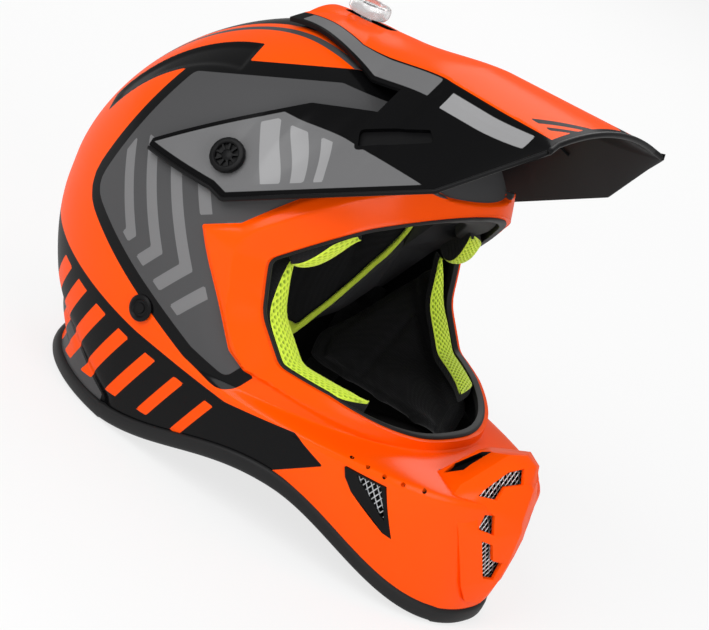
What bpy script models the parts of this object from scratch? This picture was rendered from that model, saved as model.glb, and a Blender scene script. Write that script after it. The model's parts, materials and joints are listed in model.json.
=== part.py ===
"""Motocross helmet: hard shell with a long chin bar, tilting sun peak, vents, liner, pads and chin strap.

The helmet stands on its rim on a table at height zero. It faces -Y, and X = 0 is its plane of symmetry, so
a place on it is given here as (x, forward, height), with forward = -Y.
"""
import math

import bmesh
import bpy
from mathutils import Vector

MM = 0.001
TURN = 2.0 * math.pi

# Hard shell: half width, reach to the front and rear, and height of its widest level above the table.
WIDEST_HEIGHT = 123.5 * MM
HALF_WIDTH = 120.0 * MM
BROW_REACH = 136.0 * MM
REAR_REACH = 136.0 * MM
CROWN_RISE = 132.0 * MM
CROWN_POWER = 2.05
CROWN_REAR_POWER = 1.75
RIM_HALF_WIDTH = 93.0 * MM
SHELL_WALL = 4.0 * MM
FIT_GAP = 0.4 * MM
LINER_GAP = 1.2 * MM

# Neck: the back of the shell draws in to the neck, then flares out to the rear lip.
NECK_REACH = 96.0 * MM
NECK_TOP = 110.0 * MM
NECK_HEIGHT = 30.0 * MM
NECK_POWER = 1.9
LIP_FLARE = 6.0 * MM
LIP_FLARE_HEIGHT = 18.0 * MM
REAR_POWER = 1.95

# Chin bar: the shelf under the eyeport runs out from the port lip to the chin.
PORT_LIP_REACH = 154.0 * MM
SHELF_TOP = 72.0 * MM
SHELF_DROP = 7.0 * MM
CHIN_REACH = 204.0 * MM
CHIN_FULL_HEIGHT = 42.0 * MM
CHIN_TUCK = 1.5 * MM
CHIN_POWER = 2.3

# Rim: its underside lies on a sloping plane at the rear and at the chin and arches up between. The whole
# helmet is tilted back by that slope, so that it stands on the table.
REST_TILT = math.radians(4.9)
RIM_LEVEL_AT = 63.0 * MM
RIM_ARCH = 33.0 * MM
RIM_ARCH_AT = 108.0 * MM
RIM_ARCH_REAR = 128.0 * MM
RIM_ARCH_FRONT = 98.0 * MM
RIM_FLAT_BAND = 0.6 * MM
TRIM_HEIGHT = 10.5 * MM
TRIM_BASE = 3.0 * MM
TRIM_WALL = 2.2 * MM

# Eyeport, seen from the side: height of its lower lip and the forward place and height of its corners.
PORT_LIP = 77.0 * MM
PORT_LOW_FRONT = 150.0 * MM
PORT_LOW_CORNER = (84.0 * MM, 95.0 * MM)
PORT_TOP_CORNER = (58.0 * MM, 143.0 * MM)
PORT_TOP_RISE = 0.975
PORT_FRONT = 176.0 * MM
PORT_LOW_ROUND = 16.0 * MM
PORT_TOP_ROUND = 10.0 * MM
GOGGLE_RECESS = 4.0 * MM
GOGGLE_RECESS_WIDTH = 34.0 * MM
GASKET_WALL = 1.6 * MM
GASKET_WEB = 1.2 * MM
GASKET_LIP = 3.4 * MM
GASKET_STEP = 5.0 * MM
GASKET_SINK = 0.5 * MM
GASKET_GAP = 1.3 * MM
GASKET_STAND = 1.3 * MM

# Peak: outlines by forward place and height, from the arms to the front edge.
PEAK_WALL = 2.6 * MM
PEAK_PIVOT = (15.0 * MM, 182.0 * MM)
PEAK_ARM_CLEARANCE = 2.4 * MM
PEAK_REAR = -30.0 * MM
PEAK_FRONT = 163.0 * MM
PEAK_JOIN = 62.0 * MM
PEAK_CREST_CLEARANCE = 3.6 * MM
PEAK_CREST_FRONT = 273.0 * MM
PEAK_TONGUE_REAR_HALF = 27.0 * MM
PEAK_TONGUE_FRONT_HALF = 56.0 * MM
PEAK_CAMBER = 8.0 * MM
PEAK_FLANK = 9.0 * MM
PEAK_WING_CORNER = (130.0 * MM, 98.0 * MM, 221.0 * MM)
PEAK_FRONT_CORNER = (165.0 * MM, 66.0 * MM, 262.0 * MM)
PEAK_ARM_REAR = (-35.0 * MM, 165.0 * MM)
PEAK_ARM_TIP = (25.0 * MM, 163.0 * MM)
PEAK_ARM_TOP = (32.0 * MM, 224.0 * MM)
PEAK_ARM_HEEL = 4.0 * MM
PEAK_ARM_STEP = 14.0 * MM
PEAK_WING_LEAN = 0.55
PEAK_TILT_BACK = 5.0
PEAK_TILT_DOWN = 3.0

# Peak fixings: two side screws and one centre thumb knob, each in a threaded insert.
SCREW_HEAD = 10.0 * MM
SCREW_HEAD_DEPTH = 4.0 * MM
SCREW_SEAT = 1.7 * MM
SHANK = 3.5 * MM
SHANK_CLEARANCE = 0.5 * MM
INSERT_OUTER = 9.0 * MM
INSERT_DEPTH = 5.0 * MM
INSERT_SEAT = 1.9 * MM
KNOB_AT = -8.0 * MM
KNOB_RADIUS = 12.0 * MM
KNOB_DEPTH = 8.0 * MM
KNOB_LIFT = 2.0 * MM
KNOB_LOBES = 6

# Impact liner and comfort liner.
EPS_WALL = 26.0 * MM
EPS_TEMPLE = (44.0 * MM, 149.0 * MM)
EPS_SIDE_RISE = 1.6
EPS_REAR_EDGE = 50.0 * MM
EPS_PORT_MARGIN = 12.6 * MM
CROWN_PAD_GAP = 2.6 * MM
CROWN_PAD_WALL = 9.0 * MM
CROWN_PAD_SEAM = 3.0 * MM
CROWN_PAD_RISE = 7.0 * MM
HEM_RADIUS = 2.2 * MM
CHIN_FOAM_WALL = 14.0 * MM
CHIN_FOAM_LOW = 14.0 * MM
CHIN_FOAM_TOP = 55.0 * MM
CHIN_FOAM_SLOPE = 12.0 * MM
CHIN_FOAM_WEB = 8.0 * MM
CHIN_FOAM_TURN = math.radians(44.0)
AIRWAY_HALF_WIDTH = 22.0 * MM

# Cheek pads, neck roll and the strips along the eyeport.
CHEEK_CENTRE = (48.0 * MM, 68.0 * MM)
CHEEK_REAR = -10.0 * MM
CHEEK_FLOOR = 36.0 * MM
CHEEK_CROWN = 24.0 * MM
CHEEK_EDGE_DEPTH = 13.0 * MM
STRIP_WIDTH = 18.0 * MM
STRIP_DEPTH = 6.0 * MM
STRIP_PROUD = 1.5 * MM
STRIP_SPACING = 9.0 * MM
CHEEK_STRIP_FRONT = 120.0 * MM
TEMPLE_FRONT = 84.0 * MM
NECK_ROLL_TURN = math.radians(56.0)
NECK_ROLL_HEIGHT = 31.0 * MM
NECK_ROLL_HALF_DEPTH = 8.0 * MM
NECK_ROLL_HALF_HEIGHT = 14.0 * MM

# Chin vents: mouthpiece on the nose, a mesh behind it, and a framed vent on each flank. The mouthpiece's
# slots are given as (across, height) corners in millimetres.
NOSE_TIP = (206.0 * MM, 91.0 * MM)
NOSE_FRONT = (214.0 * MM, 40.0 * MM)
NOSE_CORNER = (45.0 * MM, 190.0 * MM, 70.0 * MM)
NOSE_FOOT = (34.0 * MM, 203.0 * MM, 3.0 * MM)
NOSE_FOOT_FRONT = 211.0 * MM
NOSE_ROOT = 166.0 * MM
NOSE_UNDERCUT = 14.0 * MM
NOSE_CHEEK_IN = 3.0 * MM
NOSE_CHEEK_REACH = 10.0 * MM
NOSE_SEAT_RISE = 1.0 * MM
NOSE_SEAT_DROP = 4.0 * MM
MOUTH_SLOTS = (((5, 67), (25, 60), (25, 67), (8, 75)), ((14, 43), (25, 46), (25, 55), (14, 53)),
               ((8, 20), (16, 20), (22, 34), (13, 38)))
MOUTH_HALF_WIDTH = 28.0 * MM
MOUTH_LOW = 18.0 * MM
MOUTH_TOP = 60.0 * MM
MESH_WALL = 1.2 * MM
MESH_DEPTH = 1.4 * MM
MESH_BAR = 1.2 * MM
MESH_HOLE = 1.3 * MM
MESH_HOLE_STEP = 3.6 * MM
MESH_HOLE_REACH = 5
SIDE_VENT = ((141.0 * MM, 59.5 * MM), (165.0 * MM, 58.5 * MM),
             (174.0 * MM, 32.0 * MM), (150.0 * MM, 47.0 * MM))
SIDE_VENT_ROUND = 1.5 * MM
SIDE_VENT_FRAME = 2.2 * MM
SIDE_VENT_PROUD = 1.0 * MM
DOT_COUNT = 5
DOT_RADIUS = 1.6 * MM
DOT_START = (141.0 * MM, 62.6 * MM)
DOT_END = (178.0 * MM, 61.8 * MM)

# Chin strap: a riveted webbing tail on each side, one with two D-rings.
RIVET_AT = (3.0 * MM, 84.0 * MM)
RIVET_HEAD = 7.5 * MM
RIVET_DEPTH = 2.4 * MM
RIVET_SHANK = 3.0 * MM
RIVET_WASHER = 0.4 * MM
STRAP_WIDTH = 24.0 * MM
STRAP_WALL = 2.0 * MM
STRAP_STAND = 2.0 * MM
STRAP_TURN_HEIGHT = 20.0 * MM
STRAP_BEND = 34.0 * MM
STRAP_LONG_END = 20.0 * MM
STRAP_SHORT_END = 52.0 * MM
RING_WIRE = 2.0 * MM
RING_WIDTH = 28.0 * MM
RING_REACH = 20.0 * MM
RING_STEP = 5.2 * MM

# Facets of the curved pieces.
SHELL_TURNS = 48
LINER_TURNS = 24
CROWN_ROWS = 8
PORT_ROWS = 4
SHELF_ROWS = 3
CHIN_ROWS = 4


def smooth(t):
    """Ease from 0 to 1, flat at both ends."""
    t = min(max(t, 0.0), 1.0)
    return t * t * (3.0 - 2.0 * t)


def mix(a, b, t):
    return a + (b - a) * t


def place(x, forward, height):
    return Vector((x, -forward, height))


def section(height, inset=0.0):
    """Half width, front reach, rear reach and front power of the shell's level section at one height."""
    wide, brow, rear = HALF_WIDTH - inset, BROW_REACH - inset, REAR_REACH - inset
    if height >= WIDEST_HEIGHT:
        rise = min((height - WIDEST_HEIGHT) / (CROWN_RISE - inset), 1.0)
        shrink = (1.0 - rise ** CROWN_POWER) ** (1.0 / CROWN_POWER)
        rear_shrink = (1.0 - rise ** CROWN_REAR_POWER) ** (1.0 / CROWN_REAR_POWER)
        return wide * shrink, brow * shrink, rear * rear_shrink, 2.0
    drop = 1.0 - height / WIDEST_HEIGHT
    wide -= (HALF_WIDTH - RIM_HALF_WIDTH) * drop ** 2
    lip_share = smooth((WIDEST_HEIGHT - height) / (WIDEST_HEIGHT - PORT_LIP))
    lip = mix(brow, PORT_LIP_REACH - inset, lip_share)
    chin = CHIN_REACH - inset - CHIN_TUCK * ((height - CHIN_FULL_HEIGHT) / CHIN_FULL_HEIGHT) ** 2
    front = mix(lip, chin, smooth((SHELF_TOP - inset - height) / SHELF_DROP))
    neck = min(max((NECK_TOP - height) / (NECK_TOP - NECK_HEIGHT), 0.0), 1.0)
    rear -= (REAR_REACH - NECK_REACH) * neck ** NECK_POWER
    rear += LIP_FLARE * smooth((NECK_HEIGHT - height) / LIP_FLARE_HEIGHT)
    return wide, front, rear, mix(2.0, CHIN_POWER, lip_share)


def half_width(forward, height, inset=0.0):
    """Half width of the plain shell at one place seen from the side."""
    wide, front, rear, power = section(height, inset)
    share = forward / front
    if forward < 0.0:
        share = -forward / rear
        power = REAR_POWER
    if share >= 1.0:
        return 0.0
    return wide * (1.0 - share ** power) ** (1.0 / power)


def round_outline(corners, steps=4):
    """A closed outline of (forward, height, radius) corners with round corners."""
    points = []
    for i, (f, h, radius) in enumerate(corners):
        here = Vector((f, h))
        before = Vector(corners[i - 1][:2]) - here
        after = Vector(corners[(i + 1) % len(corners)][:2]) - here
        if radius == 0.0:
            points.append(here)
            continue
        opening = before.angle(after)
        cut = radius / math.tan(opening / 2.0)
        start, end = here + before.normalized() * cut, here + after.normalized() * cut
        for step in range(steps + 1):
            t = step / steps
            points.append(start.lerp(here, t).lerp(here.lerp(end, t), t))
    return points


def port_outline():
    """The eyeport seen from the side, from its front lower corner round the back to its front top corner."""
    low_f, low_h = PORT_LOW_CORNER
    top_f, top_h = PORT_TOP_CORNER
    front_top = top_h + (PORT_FRONT - top_f) * PORT_TOP_RISE
    corners = [(PORT_FRONT, PORT_LIP, 0.0), (PORT_LOW_FRONT, PORT_LIP, PORT_LOW_ROUND)]
    corners += [(low_f, low_h, PORT_LOW_ROUND), (top_f, top_h, PORT_TOP_ROUND), (PORT_FRONT, front_top, 0.0)]
    return round_outline(corners)


def distance_to_outline(point, outline):
    best = None
    for a, b in zip(outline, outline[1:]):
        span = b - a
        t = min(max((point - a).dot(span) / span.length_squared, 0.0), 1.0)
        gap = (point - a - span * t).length
        best = gap if best is None else min(best, gap)
    return best


PORT = port_outline()


def recess(forward, height):
    """How far the shell's flank dips in beside the eyeport, where goggles sit."""
    near = 1.0 - distance_to_outline(Vector((forward, height)), PORT) / GOGGLE_RECESS_WIDTH
    return GOGGLE_RECESS * smooth(near)


def shell_point(turn, height, inset=0.0):
    """A point of the shell at an angle round from the front, dipped at the goggle recess."""
    wide, front, rear, power = section(height, inset)
    c, s = math.cos(turn), math.sin(turn)
    reach = front
    if c < 0.0:
        reach, power = -rear, REAR_POWER
    forward = reach * abs(c) ** (2.0 / power)
    across = math.copysign(wide * abs(s) ** (2.0 / power), s)
    across *= 1.0 - recess(forward, height) / HALF_WIDTH
    return place(across, forward, height)


def rim_underside(forward):
    """Height of the rim's underside."""
    span = RIM_ARCH_FRONT if forward > RIM_ARCH_AT else RIM_ARCH_REAR
    share = min(abs(forward - RIM_ARCH_AT) / span, 1.0)
    arch = RIM_ARCH * math.cos(share * math.pi / 2.0) ** 2
    if arch < RIM_FLAT_BAND:
        arch = 0.0
    return arch - (forward - RIM_LEVEL_AT) * math.tan(REST_TILT)


def rim_height(turn, rise, inset=0.0):
    """Height at which the shell, at one angle round, is a given rise above the rim's underside."""
    height = rise
    for _ in range(12):
        height = rim_underside(-shell_point(turn, height, inset).y) + rise
    return height


def wall_point(forward, height, side, inset):
    """A point on the flank, seen from the side at (forward, height), on the given side."""
    across = half_width(forward, height, inset) * (1.0 - recess(forward, height) / HALF_WIDTH)
    return place(side * across, forward, height)


def shell_normal(point):
    """Outward direction of the plain shell at a point on or near it."""
    def level(p):
        wide, front, rear, power = section(p.z)
        reach = front
        if p.y > 0.0:
            reach, power = rear, REAR_POWER
        return (abs(p.x) / wide) ** power + (abs(p.y) / reach) ** power
    step = 0.5 * MM
    axes = (Vector((step, 0, 0)), Vector((0, step, 0)), Vector((0, 0, step)))
    return Vector([level(point + axis) - level(point - axis) for axis in axes]).normalized()


def clear_scene():
    for item in list(bpy.data.objects):
        bpy.data.objects.remove(item, do_unlink=True)


def material(name, rgb, roughness, metallic=0.0):
    found = bpy.data.materials.get(name)
    if found:
        return found
    made = bpy.data.materials.new(name)
    made.use_nodes = True
    shader = made.node_tree.nodes["Principled BSDF"]
    shader.inputs["Base Color"].default_value = (*rgb, 1.0)
    shader.inputs["Roughness"].default_value = roughness
    shader.inputs["Metallic"].default_value = metallic
    return made


def orange_paint():
    return material("orange paint", (1.0, 0.1, 0.01), 0.25)


def black_plastic():
    return material("black plastic", (0.012, 0.012, 0.013), 0.4)


def black_rubber():
    return material("black rubber", (0.01, 0.01, 0.01), 0.7)


def grey_foam():
    return material("grey foam", (0.05, 0.05, 0.055), 0.9)


def black_cloth():
    return material("black cloth", (0.01, 0.01, 0.012), 0.9)


def lime_cloth():
    return material("lime mesh cloth", (0.45, 0.8, 0.02), 0.8)


def clear_plastic():
    return material("clear plastic", (0.85, 0.87, 0.88), 0.15)


def steel():
    return material("steel", (0.6, 0.6, 0.62), 0.3, 1.0)


def finish(bm, name, finish_material, parent, hinge=None):
    """Turn a bmesh into a named object, with its origin at the hinge point if it has one."""
    bmesh.ops.recalc_face_normals(bm, faces=bm.faces)
    if hinge is not None:
        bmesh.ops.translate(bm, vec=-hinge, verts=bm.verts)
    mesh = bpy.data.meshes.new(name)
    bm.to_mesh(mesh)
    bm.free()
    mesh.shade_smooth()
    mesh.set_sharp_from_angle(angle=math.radians(35.0))
    made = bpy.data.objects.new(name, mesh)
    mesh.materials.append(finish_material)
    bpy.context.collection.objects.link(made)
    made.parent = parent
    if hinge is not None:
        made.location = hinge
    return made


def cutter(bm, name, parent):
    made = finish(bm, name, black_plastic(), parent)
    made.hide_render = True
    made.display_type = "WIRE"
    return made


def cut(target, tool, operation="DIFFERENCE"):
    boolean = target.modifiers.new(tool.name, "BOOLEAN")
    boolean.operation = operation
    boolean.solver = "EXACT"
    boolean.object = tool


def add_rings(bm, rings, round_trip=True, caps=False):
    """Skin a list of equal rings of points; round_trip joins the last ring to the first."""
    rows = [[bm.verts.new(p) for p in ring] for ring in rings]
    pairs = list(zip(rows, rows[1:]))
    if round_trip:
        pairs.append((rows[-1], rows[0]))
    for low, high in pairs:
        for i in range(len(low)):
            j = (i + 1) % len(low)
            bm.faces.new((low[i], low[j], high[j], high[i]))
    if caps:
        bm.faces.new(rows[0])
        bm.faces.new(rows[-1])


def add_prism(bm, outline, axis_point):
    """A prism between two copies of an outline; axis_point(point, end) places a point at end 0 or 1."""
    ends = [[bm.verts.new(axis_point(p, end)) for p in outline] for end in (0, 1)]
    for i in range(len(outline)):
        j = (i + 1) % len(outline)
        bm.faces.new((ends[0][i], ends[0][j], ends[1][j], ends[1][i]))
    bm.faces.new(ends[0])
    bm.faces.new(ends[1])


def side_prism(bm, outline, x_from, x_to):
    """A prism along X whose outline is seen from the side."""
    add_prism(bm, outline, lambda p, end: place((x_from, x_to)[end], p[0], p[1]))


def add_turned(bm, centre, axis, profile, sides, lobes=0, lobe_depth=0.0):
    """A closed turned solid: profile is (radius, along) from one end of the axis to the other."""
    across = axis.orthogonal().normalized()
    other = axis.cross(across)
    rings = []
    for radius, along in profile:
        ring = []
        for i in range(sides):
            angle = TURN * i / sides
            r = radius + lobe_depth * math.cos(lobes * angle)
            ring.append(centre + axis * along + (across * math.cos(angle) + other * math.sin(angle)) * r)
        rings.append(ring)
    add_rings(bm, rings, round_trip=False, caps=True)


def add_bowl(bm, outer, inner):
    """A thick bowl from two stacks of rings, each with its top point first."""
    tops = [bm.verts.new(stack[0]) for stack in (outer, inner)]
    grids = [[[bm.verts.new(p) for p in ring] for ring in stack[1:]] for stack in (outer, inner)]
    count = len(grids[0][0])
    for top, grid in zip(tops, grids):
        for i in range(count):
            j = (i + 1) % count
            bm.faces.new((top, grid[0][i], grid[0][j]))
            for upper, lower in zip(grid, grid[1:]):
                bm.faces.new((upper[i], lower[i], lower[j], upper[j]))
    for i in range(count):
        j = (i + 1) % count
        bm.faces.new((grids[0][-1][i], grids[1][-1][i], grids[1][-1][j], grids[0][-1][j]))


def crown_heights(inset, rows):
    """Heights of the rows over the crown, closer together near the top."""
    rise = CROWN_RISE - inset
    return [WIDEST_HEIGHT + rise * math.cos(math.pi / 2.0 * (i + 1) / rows) for i in range(rows)]


def shell_stack(inset):
    """Rings of the shell surface at an inset, from the top point down to the rim edge."""
    heights = crown_heights(inset, CROWN_ROWS)
    shelf_top = SHELF_TOP - inset
    crease = shelf_top - SHELF_DROP
    heights += [mix(WIDEST_HEIGHT, shelf_top, (i + 1) / PORT_ROWS) for i in range(PORT_ROWS)]
    heights += [mix(shelf_top, crease, (i + 1) / SHELF_ROWS) for i in range(SHELF_ROWS)]
    turns = [TURN * i / SHELL_TURNS for i in range(SHELL_TURNS)]
    stack = [place(0.0, 0.0, WIDEST_HEIGHT + CROWN_RISE - inset)]
    stack += [[shell_point(turn, height, inset) for turn in turns] for height in heights]
    tops = [rim_height(turn, TRIM_HEIGHT) for turn in turns]
    edges = [rim_height(turn, TRIM_BASE + FIT_GAP) for turn in turns]
    for i in range(CHIN_ROWS):
        share = (i + 1) / CHIN_ROWS
        stack.append([shell_point(t, mix(crease, top, share), inset) for t, top in zip(turns, tops)])
    stack.append([shell_point(t, edge, inset) for t, edge in zip(turns, edges)])
    return stack


def shell_body(inset):
    """A closed solid of everything inside the shell surface at an inset, used to trim pieces to it."""
    bm = bmesh.new()
    stack = shell_stack(inset)
    top = bm.verts.new(stack[0])
    grid = [[bm.verts.new(p) for p in ring] for ring in stack[1:]]
    for i in range(SHELL_TURNS):
        j = (i + 1) % SHELL_TURNS
        bm.faces.new((top, grid[0][i], grid[0][j]))
        for upper, lower in zip(grid, grid[1:]):
            bm.faces.new((upper[i], lower[i], lower[j], upper[j]))
    bm.faces.new(grid[-1])
    return bm


def dot_places():
    spread = [i / (DOT_COUNT - 1) for i in range(DOT_COUNT)]
    return [(mix(DOT_START[0], DOT_END[0], t), mix(DOT_START[1], DOT_END[1], t)) for t in spread]


def side_vent_outline(grow):
    """The flank vent's outline with each of its sides moved outwards by an amount."""
    corners = [Vector(p) for p in SIDE_VENT]
    normals = []
    for i, corner in enumerate(corners):
        along = (corners[(i + 1) % len(corners)] - corner).normalized()
        normals.append(Vector((-along.y, along.x)))
    moved = []
    for i, corner in enumerate(corners):
        before, after = normals[i - 1], normals[i]
        spot = corner + (before + after) * grow / (1.0 + before.dot(after))
        moved.append((spot.x, spot.y, SIDE_VENT_ROUND))
    return round_outline(moved, steps=2)


def make_shell(root):
    bm = bmesh.new()
    add_bowl(bm, shell_stack(0.0), shell_stack(SHELL_WALL))
    shell = finish(bm, "outer_shell", orange_paint(), root)

    bm = bmesh.new()
    side_prism(bm, PORT, -2.0 * HALF_WIDTH, 2.0 * HALF_WIDTH)
    cut(shell, cutter(bm, "eyeport_cut", root))

    bm = bmesh.new()
    for side in (-1.0, 1.0):
        side_prism(bm, side_vent_outline(FIT_GAP), side * HALF_WIDTH / 3.0, side * HALF_WIDTH)
        for forward, height in dot_places():
            add_turned(bm, place(side * HALF_WIDTH / 4.0, forward, height), Vector((side, 0, 0)),
                       [(DOT_RADIUS, 0.0), (DOT_RADIUS, HALF_WIDTH)], 8)
        centre, axis = screw_place(side)
        hole = SHANK + SHANK_CLEARANCE
        add_turned(bm, centre, axis, [(hole, -2.0 * SCREW_HEAD), (hole, SCREW_HEAD)], 12)
        hole = RIVET_SHANK + SHANK_CLEARANCE
        add_turned(bm, place(side * HALF_WIDTH / 2.0, *RIVET_AT), Vector((side, 0, 0)),
                   [(hole, 0.0), (hole, HALF_WIDTH)], 12)
    add_turned(bm, place(0.0, KNOB_AT, WIDEST_HEIGHT), Vector((0, 0, 1)),
               [(SHANK + SHANK_CLEARANCE, 0.0), (SHANK + SHANK_CLEARANCE, 2.0 * CROWN_RISE)], 12)
    mouth = [(-MOUTH_HALF_WIDTH, MOUTH_LOW), (MOUTH_HALF_WIDTH, MOUTH_LOW),
             (MOUTH_HALF_WIDTH, MOUTH_TOP), (-MOUTH_HALF_WIDTH, MOUTH_TOP)]
    add_prism(bm, mouth, lambda p, end: place(p[0], (NOSE_ROOT, CHIN_REACH * 1.2)[end], p[1]))
    cut(shell, cutter(bm, "vent_cut", root))
    return shell


def make_rim_trim(root):
    bm = bmesh.new()
    rings = []
    for i in range(SHELL_TURNS):
        turn = TURN * i / SHELL_TURNS
        low = rim_height(turn, 0.0)
        seat, top = low + TRIM_BASE, low + TRIM_HEIGHT
        out, slot_out = -FIT_GAP - TRIM_WALL, -FIT_GAP
        slot_in, inside = SHELL_WALL + FIT_GAP, SHELL_WALL + FIT_GAP + TRIM_WALL
        foot_out, foot_in = rim_height(turn, 0.0, out), rim_height(turn, 0.0, inside)
        ring = [(out, top), (out, foot_out), (inside, foot_in), (inside, top)]
        ring += [(slot_in, top), (slot_in, seat), (slot_out, seat), (slot_out, top)]
        rings.append([shell_point(turn, height, inset) for inset, height in ring])
    add_rings(bm, rings)
    return finish(bm, "rim_trim", black_rubber(), root)


def port_path(side, spacing):
    """Points round the eyeport edge, mid wall, from the middle of the lip to the middle of the brow."""
    fine = []
    for a, b in zip(PORT, PORT[1:]):
        steps = max(int((b - a).length / (0.5 * MM)), 1)
        fine += [a.lerp(b, i / steps) for i in range(steps)]
    mid = SHELL_WALL / 2.0
    points = []
    for p in fine:
        if p.x < section(p.y, mid)[1]:
            points.append(wall_point(p.x, p.y, side, mid))
        elif points:
            break
    first, last = points[0], points[-1]
    points.insert(0, place(0.0, section(first.z, mid)[1], first.z))
    points.append(place(0.0, section(last.z, mid)[1], last.z))
    lengths = [0.0]
    for a, b in zip(points, points[1:]):
        lengths.append(lengths[-1] + (b - a).length)
    count = max(int(lengths[-1] / spacing), 8)
    path, k = [], 0
    for i in range(count + 1):
        goal = lengths[-1] * i / count
        while k < len(points) - 2 and lengths[k + 1] < goal:
            k += 1
        span = lengths[k + 1] - lengths[k]
        path.append(points[k].lerp(points[k + 1], (goal - lengths[k]) / span))
    return path


def port_frames(path, closed):
    """For each path point: the point, the shell's outward direction there, and the way into the opening."""
    middle = place(0.0, PORT_LOW_CORNER[0] + GOGGLE_RECESS_WIDTH, mix(PORT_LIP, PORT_TOP_CORNER[1], 0.6))
    frames = []
    for i, p in enumerate(path):
        before = path[i - 1] if closed or i > 0 else p
        after = path[(i + 1) % len(path)] if closed or i < len(path) - 1 else p
        along = (after - before).normalized()
        out = shell_normal(p + Vector((0.0, 0.0, 1.0 * MM)))
        into = along.cross(out).normalized()
        if into.dot(middle - p) < 0.0:
            into = -into
        out = (out - along * out.dot(along)).normalized()
        frames.append((p, out, into))
    return frames


def make_gasket(root):
    right = port_path(-1.0, GASKET_STEP)
    left = [place(-p.x, -p.y, p.z) for p in right]
    loop = right + left[-2:0:-1]
    half = SHELL_WALL / 2.0 + GASKET_STAND
    far = half + GASKET_WALL
    web = GASKET_GAP + GASKET_WEB
    face = SHELL_WALL / 2.0 - GASKET_SINK
    shape = [(face, GASKET_GAP), (face, web), (-far, web), (-far, -GASKET_LIP)]
    shape += [(-half, -GASKET_LIP), (-half, GASKET_GAP)]
    bm = bmesh.new()
    rings = [[p + out * n + into * b for n, b in shape] for p, out, into in port_frames(loop, True)]
    add_rings(bm, rings)
    return finish(bm, "eyeport_gasket", black_rubber(), root)


def edge_strip(name, path, finish_material, root, inward=None):
    """A crowned cloth strip just inside the gasket, along part of the eyeport edge."""
    start = SHELL_WALL / 2.0 + GASKET_STAND + GASKET_WALL + FIT_GAP
    shape = []
    for i in range(5):
        across = i / 4.0
        crown = STRIP_PROUD + STRIP_DEPTH * 0.3 * (math.sin(math.pi * across) - 1.0)
        shape.append((STRIP_WIDTH * across, crown))
    shape += [(STRIP_WIDTH, -STRIP_DEPTH), (0.0, -STRIP_DEPTH)]
    bm = bmesh.new()
    rings = []
    for p, out, into in port_frames(path, False):
        deep = inward or -out
        first = p + deep * (start / -out.dot(deep) + FIT_GAP)
        rings.append([first + deep * n + into * b for n, b in shape])
    add_rings(bm, rings, round_trip=False, caps=True)
    return finish(bm, name, finish_material, root)


def make_edge_strips(root):
    path = port_path(-1.0, STRIP_SPACING)
    corner = min(range(len(path)), key=lambda i: (path[i] - place(path[i].x, *PORT_TOP_CORNER)).length)
    start = next(i for i in range(len(path)) if -path[i].y < CHEEK_STRIP_FRONT)
    temple = next(i for i in range(corner, len(path)) if -path[i].y > TEMPLE_FRONT)
    for name, side in (("right", -1.0), ("left", 1.0)):
        own = [place(-side * p.x, -p.y, p.z) for p in path]
        inward = Vector((-side, 0.0, 0.0))
        edge_strip("cheek_edge_" + name, own[start:corner], lime_cloth(), root, inward)
        edge_strip("temple_pad_" + name, own[corner + 1:temple], lime_cloth(), root, inward)
    brow = path[temple + 1:] + [place(-p.x, -p.y, p.z) for p in path[-2:temple:-1]]
    edge_strip("brow_pad", brow, black_cloth(), root)


def peak_crest(forward):
    """Height of the peak's top along its middle."""
    over_crown = WIDEST_HEIGHT + CROWN_RISE + PEAK_CREST_CLEARANCE + PEAK_WALL
    share = (forward - KNOB_AT) / (PEAK_FRONT - KNOB_AT)
    if share < 0.0:
        back = (KNOB_AT - forward) / REAR_REACH
        return over_crown - CROWN_RISE * (1.0 - math.sqrt(1.0 - back ** 2))
    return mix(over_crown, PEAK_CREST_FRONT, share)


def crown_top(across, forward):
    """Height of the shell's outer surface at a place seen from above."""
    low, high = WIDEST_HEIGHT, WIDEST_HEIGHT + CROWN_RISE
    for _ in range(24):
        middle = (low + high) / 2.0
        if half_width(forward, middle) > across:
            low = middle
        else:
            high = middle
    return low


def tongue_half(forward):
    share = (forward - PEAK_REAR) / (PEAK_FRONT - PEAK_REAR)
    return mix(PEAK_TONGUE_REAR_HALF, PEAK_TONGUE_FRONT_HALF, share)


def peak_across(forward):
    """Points of the peak's top surface from the middle to the flank's foot, at one forward place."""
    half, crest = tongue_half(forward), peak_crest(forward)
    camber = min(PEAK_CAMBER, crest - WIDEST_HEIGHT)
    points = [(half * t, crest - camber * t ** 2) for t in (0.0, 0.35, 0.7, 1.0)]
    points.append((half + PEAK_FLANK * 0.8, crest - camber - PEAK_FLANK))
    over = PEAK_CREST_CLEARANCE + PEAK_WALL
    return [place(x, forward, max(z, crown_top(x, forward) + over)) for x, z in points]


def arm_point(forward, height):
    """A point on the peak arm's outer face: it follows the shell, then runs straight to the wing corner."""
    corner_f, corner_x, corner_h = PEAK_WING_CORNER
    skin = half_width(min(forward, PEAK_PIVOT[0]), height) + PEAK_ARM_CLEARANCE + PEAK_WALL
    share = smooth((forward - PEAK_PIVOT[0]) / (corner_f - PEAK_PIVOT[0]))
    lean = (height - corner_h) * PEAK_WING_LEAN
    return place(mix(skin, corner_x - lean, share), forward, height)


def screw_place(side):
    """Middle of the arm's face at the pivot, and the outward direction of the shell there."""
    face = arm_point(*PEAK_PIVOT)
    out = shell_normal(place(half_width(*PEAK_PIVOT), *PEAK_PIVOT))
    return Vector((side * face.x, face.y, face.z)), Vector((side * out.x, out.y, out.z))


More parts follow.
